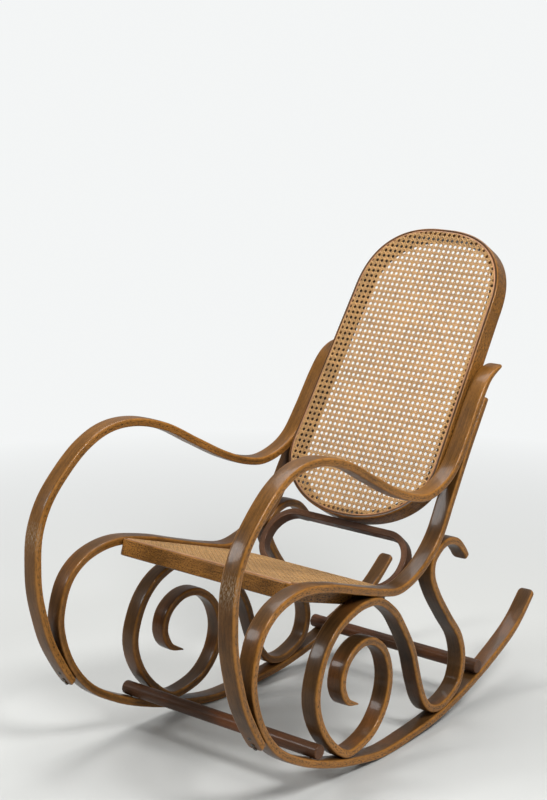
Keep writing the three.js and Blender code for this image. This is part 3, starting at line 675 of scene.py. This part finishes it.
def strands(outline, normal, offsets, stations, heights, size, levels):
    """Flat ribbons of cane side by side. Each lies on one line, has a lens-shaped section of four
    corners, and rises and falls through the given heights at its stations, one row of them per
    ribbon. It is clipped to the outline. Size is width and thickness; levels are the height at
    its two ends, inside the spline, and the height where it has come out of the spline."""
    (width, thickness), (end_level, rest_level) = size, levels
    low, high, direction = chords(outline, normal, offsets)
    real = high - low > 4 * width
    low, high, offsets = low[real, None], high[real, None], offsets[real]
    stations, heights = stations[real], heights[real]
    ends = (low, low + STRAND_DIVE, high - STRAND_DIVE, high)
    for place in ends:
        clash = np.abs(stations - place) < STATION_CLASH
        stations = np.where(clash, stations + STATION_SHIFT, stations)
    where = np.concatenate([stations, *ends], 1)
    level = np.concatenate([heights, np.tile([end_level, rest_level, rest_level, end_level],
                                             (len(heights), 1))], 1)
    order = np.argsort(where, axis=1)
    where, level = np.take_along_axis(where, order, 1), np.take_along_axis(level, order, 1)
    inside = (where >= low - HAIR) & (where <= high + HAIR)
    share = np.clip(np.minimum(where - low, high - where) / STRAND_DIVE, 0, 1)
    level = level * share + end_level * (1 - share)
    count, steps = where.shape
    middle = offsets[:, None, None] * normal + where[..., None] * direction
    section = np.array([[-width / 2, 0], [0, -thickness / 2], [width / 2, 0], [0, thickness / 2]])
    flat = middle[:, :, None, :] + section[None, None, :, :1] * normal
    up = level[:, :, None] + section[None, None, :, 1]
    grid = np.concatenate([flat, up[..., None]], -1)
    index = np.arange(count * steps * 4).reshape(count, steps, 4)
    follows = inside[:, :-1] & inside[:, 1:]
    here, there = index[:, :-1][follows], index[:, 1:][follows]
    after = np.array([1, 2, 3, 0])
    walls = np.stack([here, here[:, after], there[:, after], there], -1).reshape(-1, 4)
    rows = np.arange(count)
    first = inside.argmax(axis=1)
    last = steps - 1 - inside[:, ::-1].argmax(axis=1)
    caps = np.vstack([index[rows, first][:, ::-1], index[rows, last]])
    number = np.broadcast_to(rows[:, None, None], index.shape)
    along = np.broadcast_to(where[..., None], index.shape)
    around = np.broadcast_to(section[:, 0] + width / 2, index.shape)
    uvs = np.stack([along, around], -1).reshape(-1, 2)
    return grid.reshape(-1, 3), np.vstack([walls, caps]), uvs, number.ravel()


def joined(parts):
    """Several surfaces as one: vertices, faces, uvs and tints one after another, without the
    vertices that no face uses."""
    starts = np.cumsum([0] + [len(part[0]) for part in parts[:-1]])
    vertices, faces, uvs, tints = (np.concatenate([part[k] for part in parts]) for k in range(4))
    faces = faces + np.repeat(starts, [len(part[1]) for part in parts])[:, None]
    used, faces = np.unique(faces, return_inverse=True)
    return vertices[used], faces.reshape(-1, 4), uvs[used], tints[used]


CANE_THICKNESS = 0.62 * MM
CANE_LEVELS = (0.2 * MM, 1.05 * MM)      # in the spline, and out of it
CANE_LIFT, SLANT_LIFT = 0.33 * MM, 0.58 * MM
PAIR_SPREAD = 0.6                        # of a strand's width, to each side of the pair's middle


def cane_surface(outline, middle, seed):
    """Woven cane: pairs of upright strands, pairs of level ones, and two sets of slanting ones
    that cross at the middle of each bar between two holes. Upright and level strands pass over
    each other in turn; a slanting one passes over a bar and under the next. The holes stand on a
    square grid, one of them at the given middle."""
    s = settings()
    across, up, width = s.mesh_across, s.mesh_up, s.cane_width
    middle = np.array(middle)
    size, spread = (width, CANE_THICKNESS), PAIR_SPREAD * width
    reach = np.arange(-40, 41)
    pair = np.tile([-1, 1], len(reach))
    line = np.repeat(reach + 0.5, 2)
    parts = []
    for normal, pitch, other, far in ((np.array([1.0, 0.0]), across, up, middle[1]),
                                      (np.array([0.0, 1.0]), up, across, -middle[0])):
        offsets = middle @ normal + line * pitch + pair * spread
        places = far + ((reach + 0.5) * other)[:, None] + np.array([-spread, spread, other / 2])
        wave = np.tile([1.0, -1.0, 0.0], len(reach))
        heights = CANE_LEVELS[1] + CANE_LIFT * wave[None, :] * pair[:, None]
        parts.append(strands(outline, normal, offsets, np.tile(places.ravel(), (len(pair), 1)), heights,
                             size, CANE_LEVELS))
    length = math.hypot(across, up)
    number, halves = np.arange(-70, 71) + 0.5, np.arange(-100, 101)
    for turn in (1, -1):
        normal = np.array([up, -turn * across]) / length
        direction = np.array([turn * across, up]) / length
        offsets = middle @ normal + number * across * up / length
        starts = middle @ direction + number * across * direction[0]
        places = starts[:, None] + halves[None, :] * length / 2
        heights = CANE_LEVELS[1] + SLANT_LIFT * turn * np.where(halves % 2 == 0, 1.0, -1.0)
        parts.append(strands(outline, normal, offsets, places, np.tile(heights, (len(number), 1)),
                             size, CANE_LEVELS))
    rng = np.random.default_rng(seed)
    tinted = []
    for vertices, faces, uvs, number in parts:
        shade = rng.random(number.max() + 1)[number]
        shift = np.stack([shade * 7, np.zeros(len(shade))], -1)
        tinted.append((vertices, faces, uvs + shift, shade))
    return joined(tinted)


# Hoop, rods and screws

HOOP_EDGE_RADIUS = 2.5 * MM
ROD_LIP = 2.2 * MM
ROD_SIDES, ROD_STATIONS = 40, 60
SCREW_SIDES = 20


def hoop_surface():
    """The rear hoop: a rectangle with rounded corners, carried round the hoop's outline."""
    corners = [(0, -HOOP_DEPTH), (0, 0), (HOOP_MEMBER, 0), (HOOP_MEMBER, -HOOP_DEPTH)]
    profile = rounded_corners(corners, [HOOP_EDGE_RADIUS] * 4, 6, 0.4)
    vertices, faces, uvs = ring_surface(hoop_outline, profile, in_hoop)
    shape = (len(profile), len(hoop_outline(0.0)))
    front = np.broadcast_to(np.clip(1.5 + profile[:, 1] / MM, 0, 1)[:, None], shape)
    return vertices, faces, uvs, {"edge": front, "corner": front * 0, "worn": front * 0}


def rod_surface(share):
    """A stretcher rod: a circle carried across the chair, drawn in along a quarter circle at
    each end."""
    place = beside(RAIL_RUN, share, -(STRIP_THICKNESS / 2 + ROD_RADIUS + ROD_CLEARANCE))[0]
    y = place[0] * math.cos(TOE)
    half = MIDDLE_HALF_WIDTH - math.tan(TOE) * y
    fall = np.linspace(0, math.pi / 2, 6)
    end_x = half - ROD_LIP + ROD_LIP * np.cos(fall)
    end_radius = ROD_RADIUS - ROD_LIP + ROD_LIP * np.sin(fall)
    inner = np.linspace(half - ROD_LIP, ROD_LIP - half, ROD_STATIONS)[1:-1]
    x = np.concatenate([end_x, inner, -end_x[::-1]])
    radius = np.concatenate([end_radius, np.full(len(inner), ROD_RADIUS), end_radius[::-1]])
    angle = np.linspace(0, 2 * math.pi, ROD_SIDES, endpoint=False)
    shape = (len(x), ROD_SIDES)
    along = np.broadcast_to(x[:, None], shape)
    grid = np.stack([along, y + radius[:, None] * np.cos(angle),
                     place[1] - FLOOR_LEVEL + radius[:, None] * np.sin(angle)], -1)
    uvs = np.stack([along, np.broadcast_to(angle * ROD_RADIUS, shape)], -1)
    none = np.zeros(shape)
    ends = np.broadcast_to((radius < ROD_RADIUS - 1e-6)[:, None], shape).astype(float)
    vertices, faces, uvs, marks = capped(grid, uvs, {"edge": none, "corner": ends * 0.5, "worn": none})
    return vertices, outward_faces(vertices, faces), uvs, marks


# Radii and heights of the rings of a screw's head, in millimetres, from its socket outwards
HEADS = {
    "flush": [(1.3, -1.0), (1.7, -0.2), (2.1, 0.25), (3.2, 0.35), (4.1, 0.22), (4.45, -0.1), (4.5, -0.6)],
    "button": [(2.2, -1.6), (2.6, -0.5), (3.1, -0.1), (4.6, -0.45), (6.2, -1.15), (7.4, -2.2),
               (7.95, -3.4), (8, -3.8)],
}


def screw_surface(start, direction, head, head_height, shank, length, stand):
    """A screw turned about its own line: a head with a round socket, and a shank that tapers
    at its tip. Each ring is a circle of its radius at its height over the head's seat."""
    profile = HEADS[head] + [(HEADS[head][-1][0], -head_height), (shank, -head_height - 0.01),
                             (shank, 2 * shank - length), (0.3, -length)]
    profile = np.array(profile) * MM
    angle = np.linspace(0, 2 * math.pi, SCREW_SIDES, endpoint=False)
    away = np.array([0, 0, 1.0]) if abs(direction[2]) < 0.9 else np.array([0, 1.0, 0])
    first = np.cross(direction, away)
    first /= np.linalg.norm(first)
    second = np.cross(direction, first)
    ring = np.cos(angle)[:, None] * first + np.sin(angle)[:, None] * second
    middle = start - stand * MM * direction - profile[:, 1:] * direction
    grid = middle[:, None, :] + profile[:, :1, None] * ring[None]
    uvs = np.stack(np.broadcast_arrays(angle[None, :] / 6.3, profile[:, 1:] / MM / 10), -1)
    vertices, faces, uvs, _ = capped(grid, uvs, {})
    return vertices, outward_faces(vertices, faces), uvs


SHORT = dict(head="flush", head_height=3, shank=2.2, length=27, stand=0)
LONG = dict(SHORT, length=58)
WOOD = dict(SHORT, length=34)
BUTTON = dict(head="button", head_height=4, shank=2.5, length=32, stand=4.3)


def side_screws(side, word):
    """Name, start and direction in the side's own frame, and kind, of each screw of one side."""
    face = STRIP_THICKNESS / 2

    def through_rail(share, distance, sign):
        start = beside(RAIL_RUN, share, distance)[0]
        outward = run_at(RAIL_RUN, share)[2][0]
        return np.array([0, *start]), np.array([0, *(sign * outward)])

    found = [(f"arm_foot_screw_{i + 1}", through_rail(share, LAYER + face, -1), SHORT)
             for i, share in enumerate(ARM_FOOT_SCREWS)]
    found += [(f"arm_top_screw_{i + 1}", through_rail(share, -face, 1), SHORT)
              for i, share in enumerate(ARM_TOP_SCREWS)]
    found += [("ring_foot_screw", through_rail(RING_FOOT, face, -1), SHORT),
              ("ring_top_screw", through_rail(RING_TOP, -LAYER - face, 1), SHORT),
              ("loop_foot_screw", through_rail(LOOP_FOOT, face, -1), BUTTON),
              ("tail_screw", through_rail(TAIL_SCREW, -LAYER - face, 1), SHORT),
              ("front_rod_screw", through_rail(ROD_PLACES[0], face, -1), WOOD),
              ("rear_rod_screw", through_rail(ROD_PLACES[1], face, -1), WOOD)]
    across = np.array([side, 0, 0])
    for word_in, share in zip(("front", "rear"), SEAT_SCREWS):
        y, z = beside(RAIL_RUN, share, -SEAT_SCREW_DROP)[0]
        start = np.array([-side * (STRIP_WIDTH / 2 + FIT_GAP + SEAT_FRAME_MEMBER), y, z])
        found.append((f"{word_in}_seat_screw", (start, across), LONG))
    for word_in, share in zip(("lower", "upper"), BACK_SCREWS):
        y, z = run_at(ARM_RUN, share)[0][0]
        start = np.array([-side * (STRIP_WIDTH / 2 + FIT_GAP + BACK_MEMBER), y, z])
        found.append((f"{word_in}_back_screw", (start, across), WOOD))
    placed = []
    for name, (start, direction), kind in found:
        here, there = in_side(start, side), in_side(start + direction, side)
        placed.append((f"{word}_{name}", here, there - here, kind))
    return placed


def hoop_screws(side, word):
    """Two screws of the rear hoop: one goes forwards through its lower bar, one up into the back."""
    half = side * HOOP_WIDTH / 2
    low = np.array([half * HOOP_SCREW, HOOP_MEMBER / 2 - HOOP_HEIGHT, -HOOP_DEPTH])
    high = np.array([half * BACK_FOOT_SCREW, -HOOP_MEMBER, -HOOP_DEPTH / 2])
    placed = []
    for name, start, direction, kind in (("hoop_screw", low, np.array([0, 0, 1]), WOOD),
                                         ("back_foot_screw", high, np.array([0, 1, 0]), SHORT)):
        here, there = in_hoop(start), in_hoop(start + direction)
        placed.append((f"{word}_{name}", here, there - here, kind))
    return placed


# Materials

class Shading:
    """Builds one material's nodes. Every method adds a node and gives back its output."""

    def __init__(self, name):
        self.material = bpy.data.materials.new(name)
        self.material.use_nodes = True
        self.tree = self.material.node_tree
        self.tree.nodes.clear()
        self.out = self.tree.nodes.new("ShaderNodeOutputMaterial")
        self.shader = self.tree.nodes.new("ShaderNodeBsdfPrincipled")
        self.tree.links.new(self.shader.outputs[0], self.out.inputs[0])

    def put(self, socket, value):
        if isinstance(value, bpy.types.NodeSocket):
            self.tree.links.new(value, socket)
        else:
            socket.default_value = value

    def surface(self, **values):
        for name, value in values.items():
            self.put(self.shader.inputs[name.replace("_", " ")], value)

    def object_place(self):
        return self.tree.nodes.new("ShaderNodeTexCoord").outputs["Object"]

    def uv_place(self):
        return self.tree.nodes.new("ShaderNodeUVMap").outputs[0]

    def mark(self, name):
        node = self.tree.nodes.new("ShaderNodeAttribute")
        node.attribute_name = name
        return node.outputs["Fac"]

    def scaled(self, place, factors):
        node = self.tree.nodes.new("ShaderNodeVectorMath")
        node.operation = "MULTIPLY"
        self.put(node.inputs[0], place)
        self.put(node.inputs[1], factors)
        return node.outputs[0]

    def noise(self, place, scale=1.0, detail=2.0, roughness=0.5, distortion=0.0):
        node = self.tree.nodes.new("ShaderNodeTexNoise")
        for name, value in (("Vector", place), ("Scale", scale), ("Detail", detail),
                            ("Roughness", roughness), ("Distortion", distortion)):
            self.put(node.inputs[name], value)
        return node.outputs["Fac"]

    def span(self, value, low, high, to_low=0.0, to_high=1.0):
        node = self.tree.nodes.new("ShaderNodeMapRange")
        for name, number in (("Value", value), ("From Min", low), ("From Max", high),
                             ("To Min", to_low), ("To Max", to_high)):
            self.put(node.inputs[name], number)
        return node.outputs[0]

    def sum_of(self, operation, first, second):
        node = self.tree.nodes.new("ShaderNodeMath")
        node.operation = operation
        self.put(node.inputs[0], first)
        self.put(node.inputs[1], second)
        return node.outputs[0]

    def blend(self, share, first, second, way="MIX"):
        node = self.tree.nodes.new("ShaderNodeMix")
        node.data_type, node.blend_type = "RGBA", way
        self.put(node.inputs["Factor"], share)
        self.put(node.inputs[6], first)
        self.put(node.inputs[7], second)
        return node.outputs[2]

    def relief(self, height, distance, strength=1.0):
        node = self.tree.nodes.new("ShaderNodeBump")
        node.inputs["Strength"].default_value = strength
        node.inputs["Distance"].default_value = distance
        self.put(node.inputs["Height"], height)
        return node.outputs[0]


def color(values, factor=1.0):
    return (*(min(1.0, c * factor) for c in values), 1.0)


SCUFF_COLOR = (0.34, 0.27, 0.19, 1)
STEEL_COLOR, RUST_COLOR = (0.085, 0.078, 0.072, 1), (0.06, 0.03, 0.016, 1)


def wood_material(name, face, edge, speck_strength, coat, roughness):
    """Stained beech: long grain and short dark flecks along the piece, slow changes of stain over
    it, redder in places, a lighter line along its rounded corners that is partly wear and partly
    a painted highlight, painted shade where it is marked inner, and pale scuffs where it is
    marked worn."""
    s = Shading(name)
    uv, place = s.uv_place(), s.object_place()
    grain = s.noise(s.scaled(uv, (14, 520, 1)), 1, 4, 0.6, 0.4)
    fine = s.noise(s.scaled(uv, (70, 2400, 1)), 1, 2, 0.6)
    flecks = s.noise(s.scaled(uv, (130, 430, 1)), 1, 2, 0.6)
    cloud = s.noise(place, 5, 3, 0.55)
    smoke = s.noise(s.scaled(uv, (9, 60, 1)), 1, 3, 0.6)
    redder = s.span(s.noise(place, 8, 2, 0.5), 0.48, 0.68)
    wide = s.blend(redder, color(face), (face[0] * 1.8, face[1] * 1.35, face[2] * 0.9, 1))
    wide = s.blend(s.mark("warm"), wide, color(edge, 0.62))
    base = s.blend(s.mark("edge"), wide, color(edge))
    tone = s.sum_of("ADD", s.span(grain, 0.3, 0.7, 0.7, 1.22), s.span(cloud, 0.3, 0.7, -0.42, 0.42))
    tone = s.sum_of("ADD", tone, s.span(smoke, 0.35, 0.7, -0.18, 0.2))
    tone = s.sum_of("MULTIPLY", tone, s.span(fine, 0.25, 0.75, 0.86, 1.14))
    # Painted shade: the tone falls to 0.55 where marked inner, in a frame's groove and on its wall facing
    # the cane.
    tone = s.sum_of("MULTIPLY", tone, s.span(s.mark("inner"), 0, 1, 1, 0.55))
    tinted = s.blend(1.0, base, tone, "MULTIPLY")
    speck = s.sum_of("MULTIPLY", s.span(flecks, 0.50, 0.60), speck_strength)
    speck = s.sum_of("MULTIPLY", speck, s.span(s.mark("edge"), 0, 1, 0.3, 1.0))
    stained = s.blend(speck, tinted, color(face, 0.6))
    # A lighter line along the rounded corners: partly wear, partly a painted highlight where light catches
    # them.
    wear_and_highlight_spread = s.span(s.noise(place, 55, 3, 0.6), 0.35, 0.6, 0.35, 0.95)
    corner_wear_and_highlight = s.sum_of("MULTIPLY", s.mark("corner"), wear_and_highlight_spread)
    lit = s.blend(corner_wear_and_highlight, stained, color(edge, 1.35))
    scratches = s.span(s.noise(s.scaled(uv, (110, 560, 1)), 1, 4, 0.7), 0.48, 0.62)
    scrape = s.sum_of("MULTIPLY", s.mark("worn"), scratches)
    final = s.blend(scrape, lit, SCUFF_COLOR)
    rough = s.sum_of("ADD", s.span(s.noise(place, 42, 3, 0.6), 0.3, 0.7, roughness - 0.06, roughness + 0.1),
                     s.sum_of("MULTIPLY", scrape, 0.25))
    bump = s.sum_of("ADD", s.sum_of("MULTIPLY", grain, 0.6), s.sum_of("MULTIPLY", speck, -0.8))
    s.surface(Base_Color=final, Roughness=rough, Specular_IOR_Level=0.14, Coat_Weight=coat,
              Coat_Roughness=0.12, Normal=s.relief(bump, 0.00025, 0.5))
    return s.material


def cane_material():
    """Cane: a shade of its own on each strand, fine fibres along it, and slow yellowing."""
    s = Shading("split_cane")
    uv, place = s.uv_place(), s.object_place()
    fibre = s.noise(s.scaled(uv, (60, 3200, 1)), 1, 3, 0.6)
    bands = s.noise(s.scaled(uv, (11, 30, 1)), 1, 2, 0.5)
    cloud = s.noise(place, 5, 3, 0.5)
    tone = s.sum_of("ADD", s.span(s.mark("strand"), 0, 1, 0.66, 1.12), s.span(fibre, 0.3, 0.7, -0.16, 0.16))
    tone = s.sum_of("ADD", tone, s.span(bands, 0.3, 0.7, -0.2, 0.14))
    tone = s.sum_of("ADD", tone, s.span(cloud, 0.3, 0.7, -0.08, 0.08))
    final = s.blend(1.0, color(settings().cane_color), tone, "MULTIPLY")
    s.surface(Base_Color=final, Roughness=s.span(fibre, 0.3, 0.7, 0.38, 0.56),
              Normal=s.relief(fibre, 0.0001, 0.6))
    return s.material


def spline_material():
    """Reed spline: stained along with the wood, with fibres along it and darker worn patches."""
    s = Shading("reed")
    uv, place = s.uv_place(), s.object_place()
    fibre = s.noise(s.scaled(uv, (30, 1800, 1)), 1, 3, 0.6)
    patches = s.noise(place, 24, 3, 0.6)
    tone = s.sum_of("ADD", s.span(fibre, 0.3, 0.7, 0.75, 1.15), s.span(patches, 0.3, 0.7, -0.2, 0.2))
    final = s.blend(1.0, color(settings().spline_color), tone, "MULTIPLY")
    s.surface(Base_Color=final, Roughness=s.span(patches, 0.3, 0.7, 0.36, 0.52),
              Normal=s.relief(fibre, 0.0002, 0.5))
    return s.material


def steel_material():
    """Dark steel: turned rings round each screw, and faint brown stains."""
    s = Shading("screw_steel")
    uv, place = s.uv_place(), s.object_place()
    rings = s.noise(s.scaled(uv, (2, 60, 1)), 1, 2, 0.5)
    stains = s.span(s.noise(place, 160, 3, 0.6), 0.52, 0.7)
    final = s.blend(stains, STEEL_COLOR, RUST_COLOR)
    s.surface(Base_Color=final, Metallic=0.9, Roughness=s.span(rings, 0.3, 0.7, 0.3, 0.48),
              Normal=s.relief(rings, 0.00005, 0.4))
    return s.material


def stained_beech():
    s = settings()
    return wood_material("varnished_beech", s.face_color, s.edge_color, 0.92, s.varnish, 0.34)


def dark_beech():
    s = settings()
    return wood_material("dark_beech", s.dark_color, tuple(1.6 * c for c in s.dark_color), 0.4,
                         s.varnish * 0.6, 0.42)


def shared_material(name, make):
    return bpy.data.materials.get(name) or make()


# Operators

class ChairOperator(bpy.types.Operator):
    """What the chair's operators have in common"""
    bl_options = {"REGISTER", "UNDO"}

    def execute(self, context):
        self.build()
        return {"FINISHED"}


SIDES = ((1, "left"), (-1, "right"))
SLOTS = {"wood": "stained_beech", "dark": "dark_stained_beech", "cane": "woven_cane",
         "spline": "cane_spline", "steel": "dark_steel"}


class CHAIR_OT_strips(ChairOperator):
    """Bends the main rails, arms and scrolls of both sides"""
    bl_idname = "rocking_chair.strips"
    bl_label = "Bent strips"

    def build(self):
        material = shared_material("varnished_beech", stained_beech)
        for side, word in SIDES:
            for node, shape in STRIPS.items():
                vertices, faces, uvs, marks = strip_surface(side=side, **shape)
                piece = make_mesh(f"{word}_{node}_strip", vertices, faces, uvs, marks)
                finish_piece(piece, material, SLOTS["wood"], f"{word}_{node}")


class CHAIR_OT_frames(ChairOperator):
    """Makes the seat's frame and the back's hoop, with the spline round each cane panel"""
    bl_idname = "rocking_chair.frames"
    bl_label = "Panel frames"

    def build(self):
        wood = shared_material("varnished_beech", stained_beech)
        reed = shared_material("reed", spline_material)
        for name, outline, place, member, depth in (
                ("seat_frame", seat_outline, in_seat, SEAT_FRAME_MEMBER, SEAT_FRAME_DEPTH),
                ("back_hoop", back_outline, in_back, BACK_MEMBER, BACK_DEPTH)):
            profile = frame_profile(member, depth)
            vertices, faces, uvs = ring_surface(outline, profile, place)
            marks = frame_marks(outline, profile, member)
            piece = make_mesh(f"{name}_wood", vertices, faces, uvs, marks)
            finish_piece(piece, wood, SLOTS["wood"], name)
        for name, outline, place in (("seat_spline", seat_outline, in_seat),
                                     ("back_spline", back_outline, in_back)):
            vertices, faces, uvs = ring_surface(outline, spline_profile(), place)
            piece = make_mesh(f"{name}_reed", vertices, faces, uvs)
            finish_piece(piece, reed, SLOTS["spline"], name)


class CHAIR_OT_cane(ChairOperator):
    """Weaves the cane of the seat and the back"""
    bl_idname = "rocking_chair.cane"
    bl_label = "Woven cane"

    def build(self):
        material = shared_material("split_cane", cane_material)
        for name, outline, place, middle, seed in (
                ("seat_cane", seat_outline, in_seat, (0, SEAT_LENGTH / 2), 11),
                ("back_cane", back_outline, in_back, BACK_HOLE, 12)):
            vertices, faces, uvs, shades = cane_surface(outline(CANE_INSET), middle, seed)
            piece = make_mesh(f"{name}_weave", place(vertices), faces, uvs, {"strand": shades})
            finish_piece(piece, material, SLOTS["cane"], name)


class CHAIR_OT_hoop_and_rods(ChairOperator):
    """Makes the rear hoop and the two stretcher rods"""
    bl_idname = "rocking_chair.hoop_and_rods"
    bl_label = "Rear hoop and rods"

    def build(self):
        material = shared_material("dark_beech", dark_beech)
        surfaces = {"rear_hoop": hoop_surface(), "front_rod": rod_surface(ROD_PLACES[0]),
                    "rear_rod": rod_surface(ROD_PLACES[1])}
        for node, (vertices, faces, uvs, marks) in surfaces.items():
            piece = make_mesh(f"{node}_wood", vertices, faces, uvs, marks)
            finish_piece(piece, material, SLOTS["dark"], node)


class CHAIR_OT_screws(ChairOperator):
    """Sets every screw"""
    bl_idname = "rocking_chair.screws"
    bl_label = "Screws"

    def build(self):
        material = shared_material("screw_steel", steel_material)
        for side, word in SIDES:
            for node, start, direction, kind in side_screws(side, word) + hoop_screws(side, word):
                vertices, faces, uvs = screw_surface(start, direction, **kind)
                piece = make_mesh(f"{node}_turned", vertices, faces, uvs)
                finish_piece(piece, material, SLOTS["steel"], node)


CAMERA_PLACE = (2.4585, -2.9996, 1.6217)
CAMERA_RIGHT, CAMERA_DOWN = (0.7614, 0.6483, 0), (0.1478, -0.1735, -0.9737)
CAMERA_AHEAD = (-0.6312, 0.7413, -0.2279)
CAMERA_LENS, CAMERA_SENSOR, CAMERA_REACH = 85.5, 36, 100

# Name, place, target, width in metres and power in watts of each lamp
LAMPS = (
    ("key", (2.3, -0.7, 3.0), (0, 0, 0.5), 1.1, 96),
    ("window", (-2.1, -2.9, 2.7), (0.1, -0.3, 0.5), 1.3, 62),
    ("top", (-0.6, 0.6, 3.2), (0, 0, 0.4), 2.2, 70),
)
BACKDROP_COLOR = (0.95, 0.965, 0.965, 1)
BACKDROP_LEVEL, AMBIENT_LEVEL = 0.95, 0.34
REFLECTED_BEHIND, REFLECTED_FRONT = 0.4, 0.03
BACKDROP_SIDE = (-0.63, 0.74, 0.1)
FLOOR_COLOR = (0.55, 0.555, 0.54, 1)
FLOOR_SIDES, FLOOR_RADIUS, FLOOR_MIDDLE = 64, 12, 0.01
FLOOR_DROP = 0.2 * MM
FLOOR_FADE = (0.9, 2.6)                  # from the middle of the floor


class CHAIR_OT_stage(ChairOperator):
    """Sets up the pale floor, the soft lamps and the camera"""
    bl_idname = "rocking_chair.stage"
    bl_label = "Stage"

    def build(self):
        self.floor()
        for name, place, target, size, power in LAMPS:
            self.lamp(name, Vector(place), Vector(target), size, power)
        self.camera()
        self.world()
        bpy.context.scene.view_settings.view_transform = "Standard"

    def floor(self):
        """A flat disc far wider than the view, a hair below the runners."""
        count = FLOOR_SIDES
        angle = np.linspace(0, 2 * math.pi, count, endpoint=False)
        ring = np.stack([np.cos(angle), np.sin(angle), np.zeros(count)], -1)
        grid = np.stack([ring * FLOOR_RADIUS, ring * FLOOR_MIDDLE]) - (0, 0, FLOOR_DROP)
        vertices = np.vstack([grid.reshape(-1, 3), [[0, 0, -FLOOR_DROP]]])
        j = np.arange(count)
        closing = np.stack([np.full(count, 2 * count), count + (j + 1) % count, count + j, count + j], -1)
        faces = np.vstack([grid_faces(2, count, False, True), closing])
        floor = make_mesh("studio_floor", vertices, faces, smooth=False)
        floor.data.materials.append(self.floor_material())

    def floor_material(self):
        """Matt and pale near the chair; further out the camera sees it pass into the backdrop."""
        s = Shading("pale_floor")
        s.surface(Base_Color=FLOOR_COLOR, Roughness=0.75, Specular_IOR_Level=0.2)
        length = s.tree.nodes.new("ShaderNodeVectorMath")
        length.operation = "LENGTH"
        s.put(length.inputs[0], s.object_place())
        far = s.span(length.outputs["Value"], *FLOOR_FADE)
        seen = s.tree.nodes.new("ShaderNodeLightPath").outputs["Is Camera Ray"]
        glow = s.tree.nodes.new("ShaderNodeEmission")
        glow.inputs["Color"].default_value = BACKDROP_COLOR
        glow.inputs["Strength"].default_value = BACKDROP_LEVEL
        mix = s.tree.nodes.new("ShaderNodeMixShader")
        s.put(mix.inputs[0], s.sum_of("MULTIPLY", far, seen))
        s.put(mix.inputs[1], s.shader.outputs[0])
        s.put(mix.inputs[2], glow.outputs[0])
        s.put(s.out.inputs[0], mix.outputs[0])
        return s.material

    def lamp(self, name, place, target, size, power):
        lamp = bpy.data.lights.new(name, "AREA")
        lamp.shape, lamp.size, lamp.energy = "DISK", size, power
        holder = bpy.data.objects.new(name, lamp)
        holder.location = place
        holder.rotation_euler = (target - place).to_track_quat("-Z", "Y").to_euler()
        bpy.context.scene.collection.objects.link(holder)

    def camera(self):
        right, down, ahead = (Vector(v).normalized() for v in (CAMERA_RIGHT, CAMERA_DOWN, CAMERA_AHEAD))
        lens = bpy.data.cameras.new("camera")
        lens.lens, lens.sensor_width, lens.sensor_fit = CAMERA_LENS, CAMERA_SENSOR, "AUTO"
        lens.clip_end = CAMERA_REACH
        holder = bpy.data.objects.new("camera", lens)
        turn = Matrix((right, -down, -ahead)).transposed()
        holder.matrix_world = Matrix.Translation(CAMERA_PLACE) @ turn.to_4x4()
        bpy.context.scene.collection.objects.link(holder)
        bpy.context.scene.camera = holder

    def world(self):
        """The backdrop's white where the camera sees it. Reflections find it behind the chair and
        a dim room in front, and everything else gets a soft even light."""
        world = bpy.data.worlds.new("studio")
        world.use_nodes = True
        tree = world.node_tree
        background = tree.nodes["Background"]
        path = tree.nodes.new("ShaderNodeLightPath")
        toward = tree.nodes.new("ShaderNodeVectorMath")
        toward.operation = "DOT_PRODUCT"
        tree.links.new(tree.nodes.new("ShaderNodeTexCoord").outputs["Generated"], toward.inputs[0])
        toward.inputs[1].default_value = BACKDROP_SIDE
        mirrored = tree.nodes.new("ShaderNodeMapRange")
        tree.links.new(toward.outputs["Value"], mirrored.inputs["Value"])
        for name, value in (("From Min", 0.0), ("From Max", 0.5), ("To Min", REFLECTED_FRONT),
                            ("To Max", REFLECTED_BEHIND)):
            mirrored.inputs[name].default_value = value
        glossy, camera = (tree.nodes.new("ShaderNodeMix") for _ in range(2))
        tree.links.new(path.outputs["Is Glossy Ray"], glossy.inputs[0])
        glossy.inputs[2].default_value = AMBIENT_LEVEL
        tree.links.new(mirrored.outputs[0], glossy.inputs[3])
        tree.links.new(path.outputs["Is Camera Ray"], camera.inputs[0])
        tree.links.new(glossy.outputs[0], camera.inputs[2])
        camera.inputs[3].default_value = BACKDROP_LEVEL
        tree.links.new(camera.outputs[0], background.inputs["Strength"])
        background.inputs["Color"].default_value = BACKDROP_COLOR
        bpy.context.scene.world = world


class CHAIR_PT_panel(bpy.types.Panel):
    """Lists the chair's settings and operators"""
    bl_idname = "CHAIR_PT_panel"
    bl_label = "Rocking chair"
    bl_space_type = "VIEW_3D"
    bl_region_type = "UI"
    bl_category = "Rocking chair"

    def draw(self, context):
        column = self.layout.column()
        for name in ChairSettings.__annotations__:
            column.prop(context.scene.rocking_chair, name)
        for operator in OPERATORS:
            column.operator(operator.bl_idname)


OPERATORS = (CHAIR_OT_strips, CHAIR_OT_frames, CHAIR_OT_cane, CHAIR_OT_hoop_and_rods, CHAIR_OT_screws,
             CHAIR_OT_stage)
CLASSES = (ChairSettings, *OPERATORS, CHAIR_PT_panel)


def register():
    for cls in CLASSES:
        bpy.utils.register_class(cls)
    bpy.types.Scene.rocking_chair = PointerProperty(type=ChairSettings)


def unregister():
    del bpy.types.Scene.rocking_chair
    for cls in reversed(CLASSES):
        bpy.utils.unregister_class(cls)


def main():
    register()
    for name in ("strips", "frames", "cane", "hoop_and_rods", "screws", "stage"):
        getattr(bpy.ops.rocking_chair, name)()


if __name__ == "__main__":
    main()
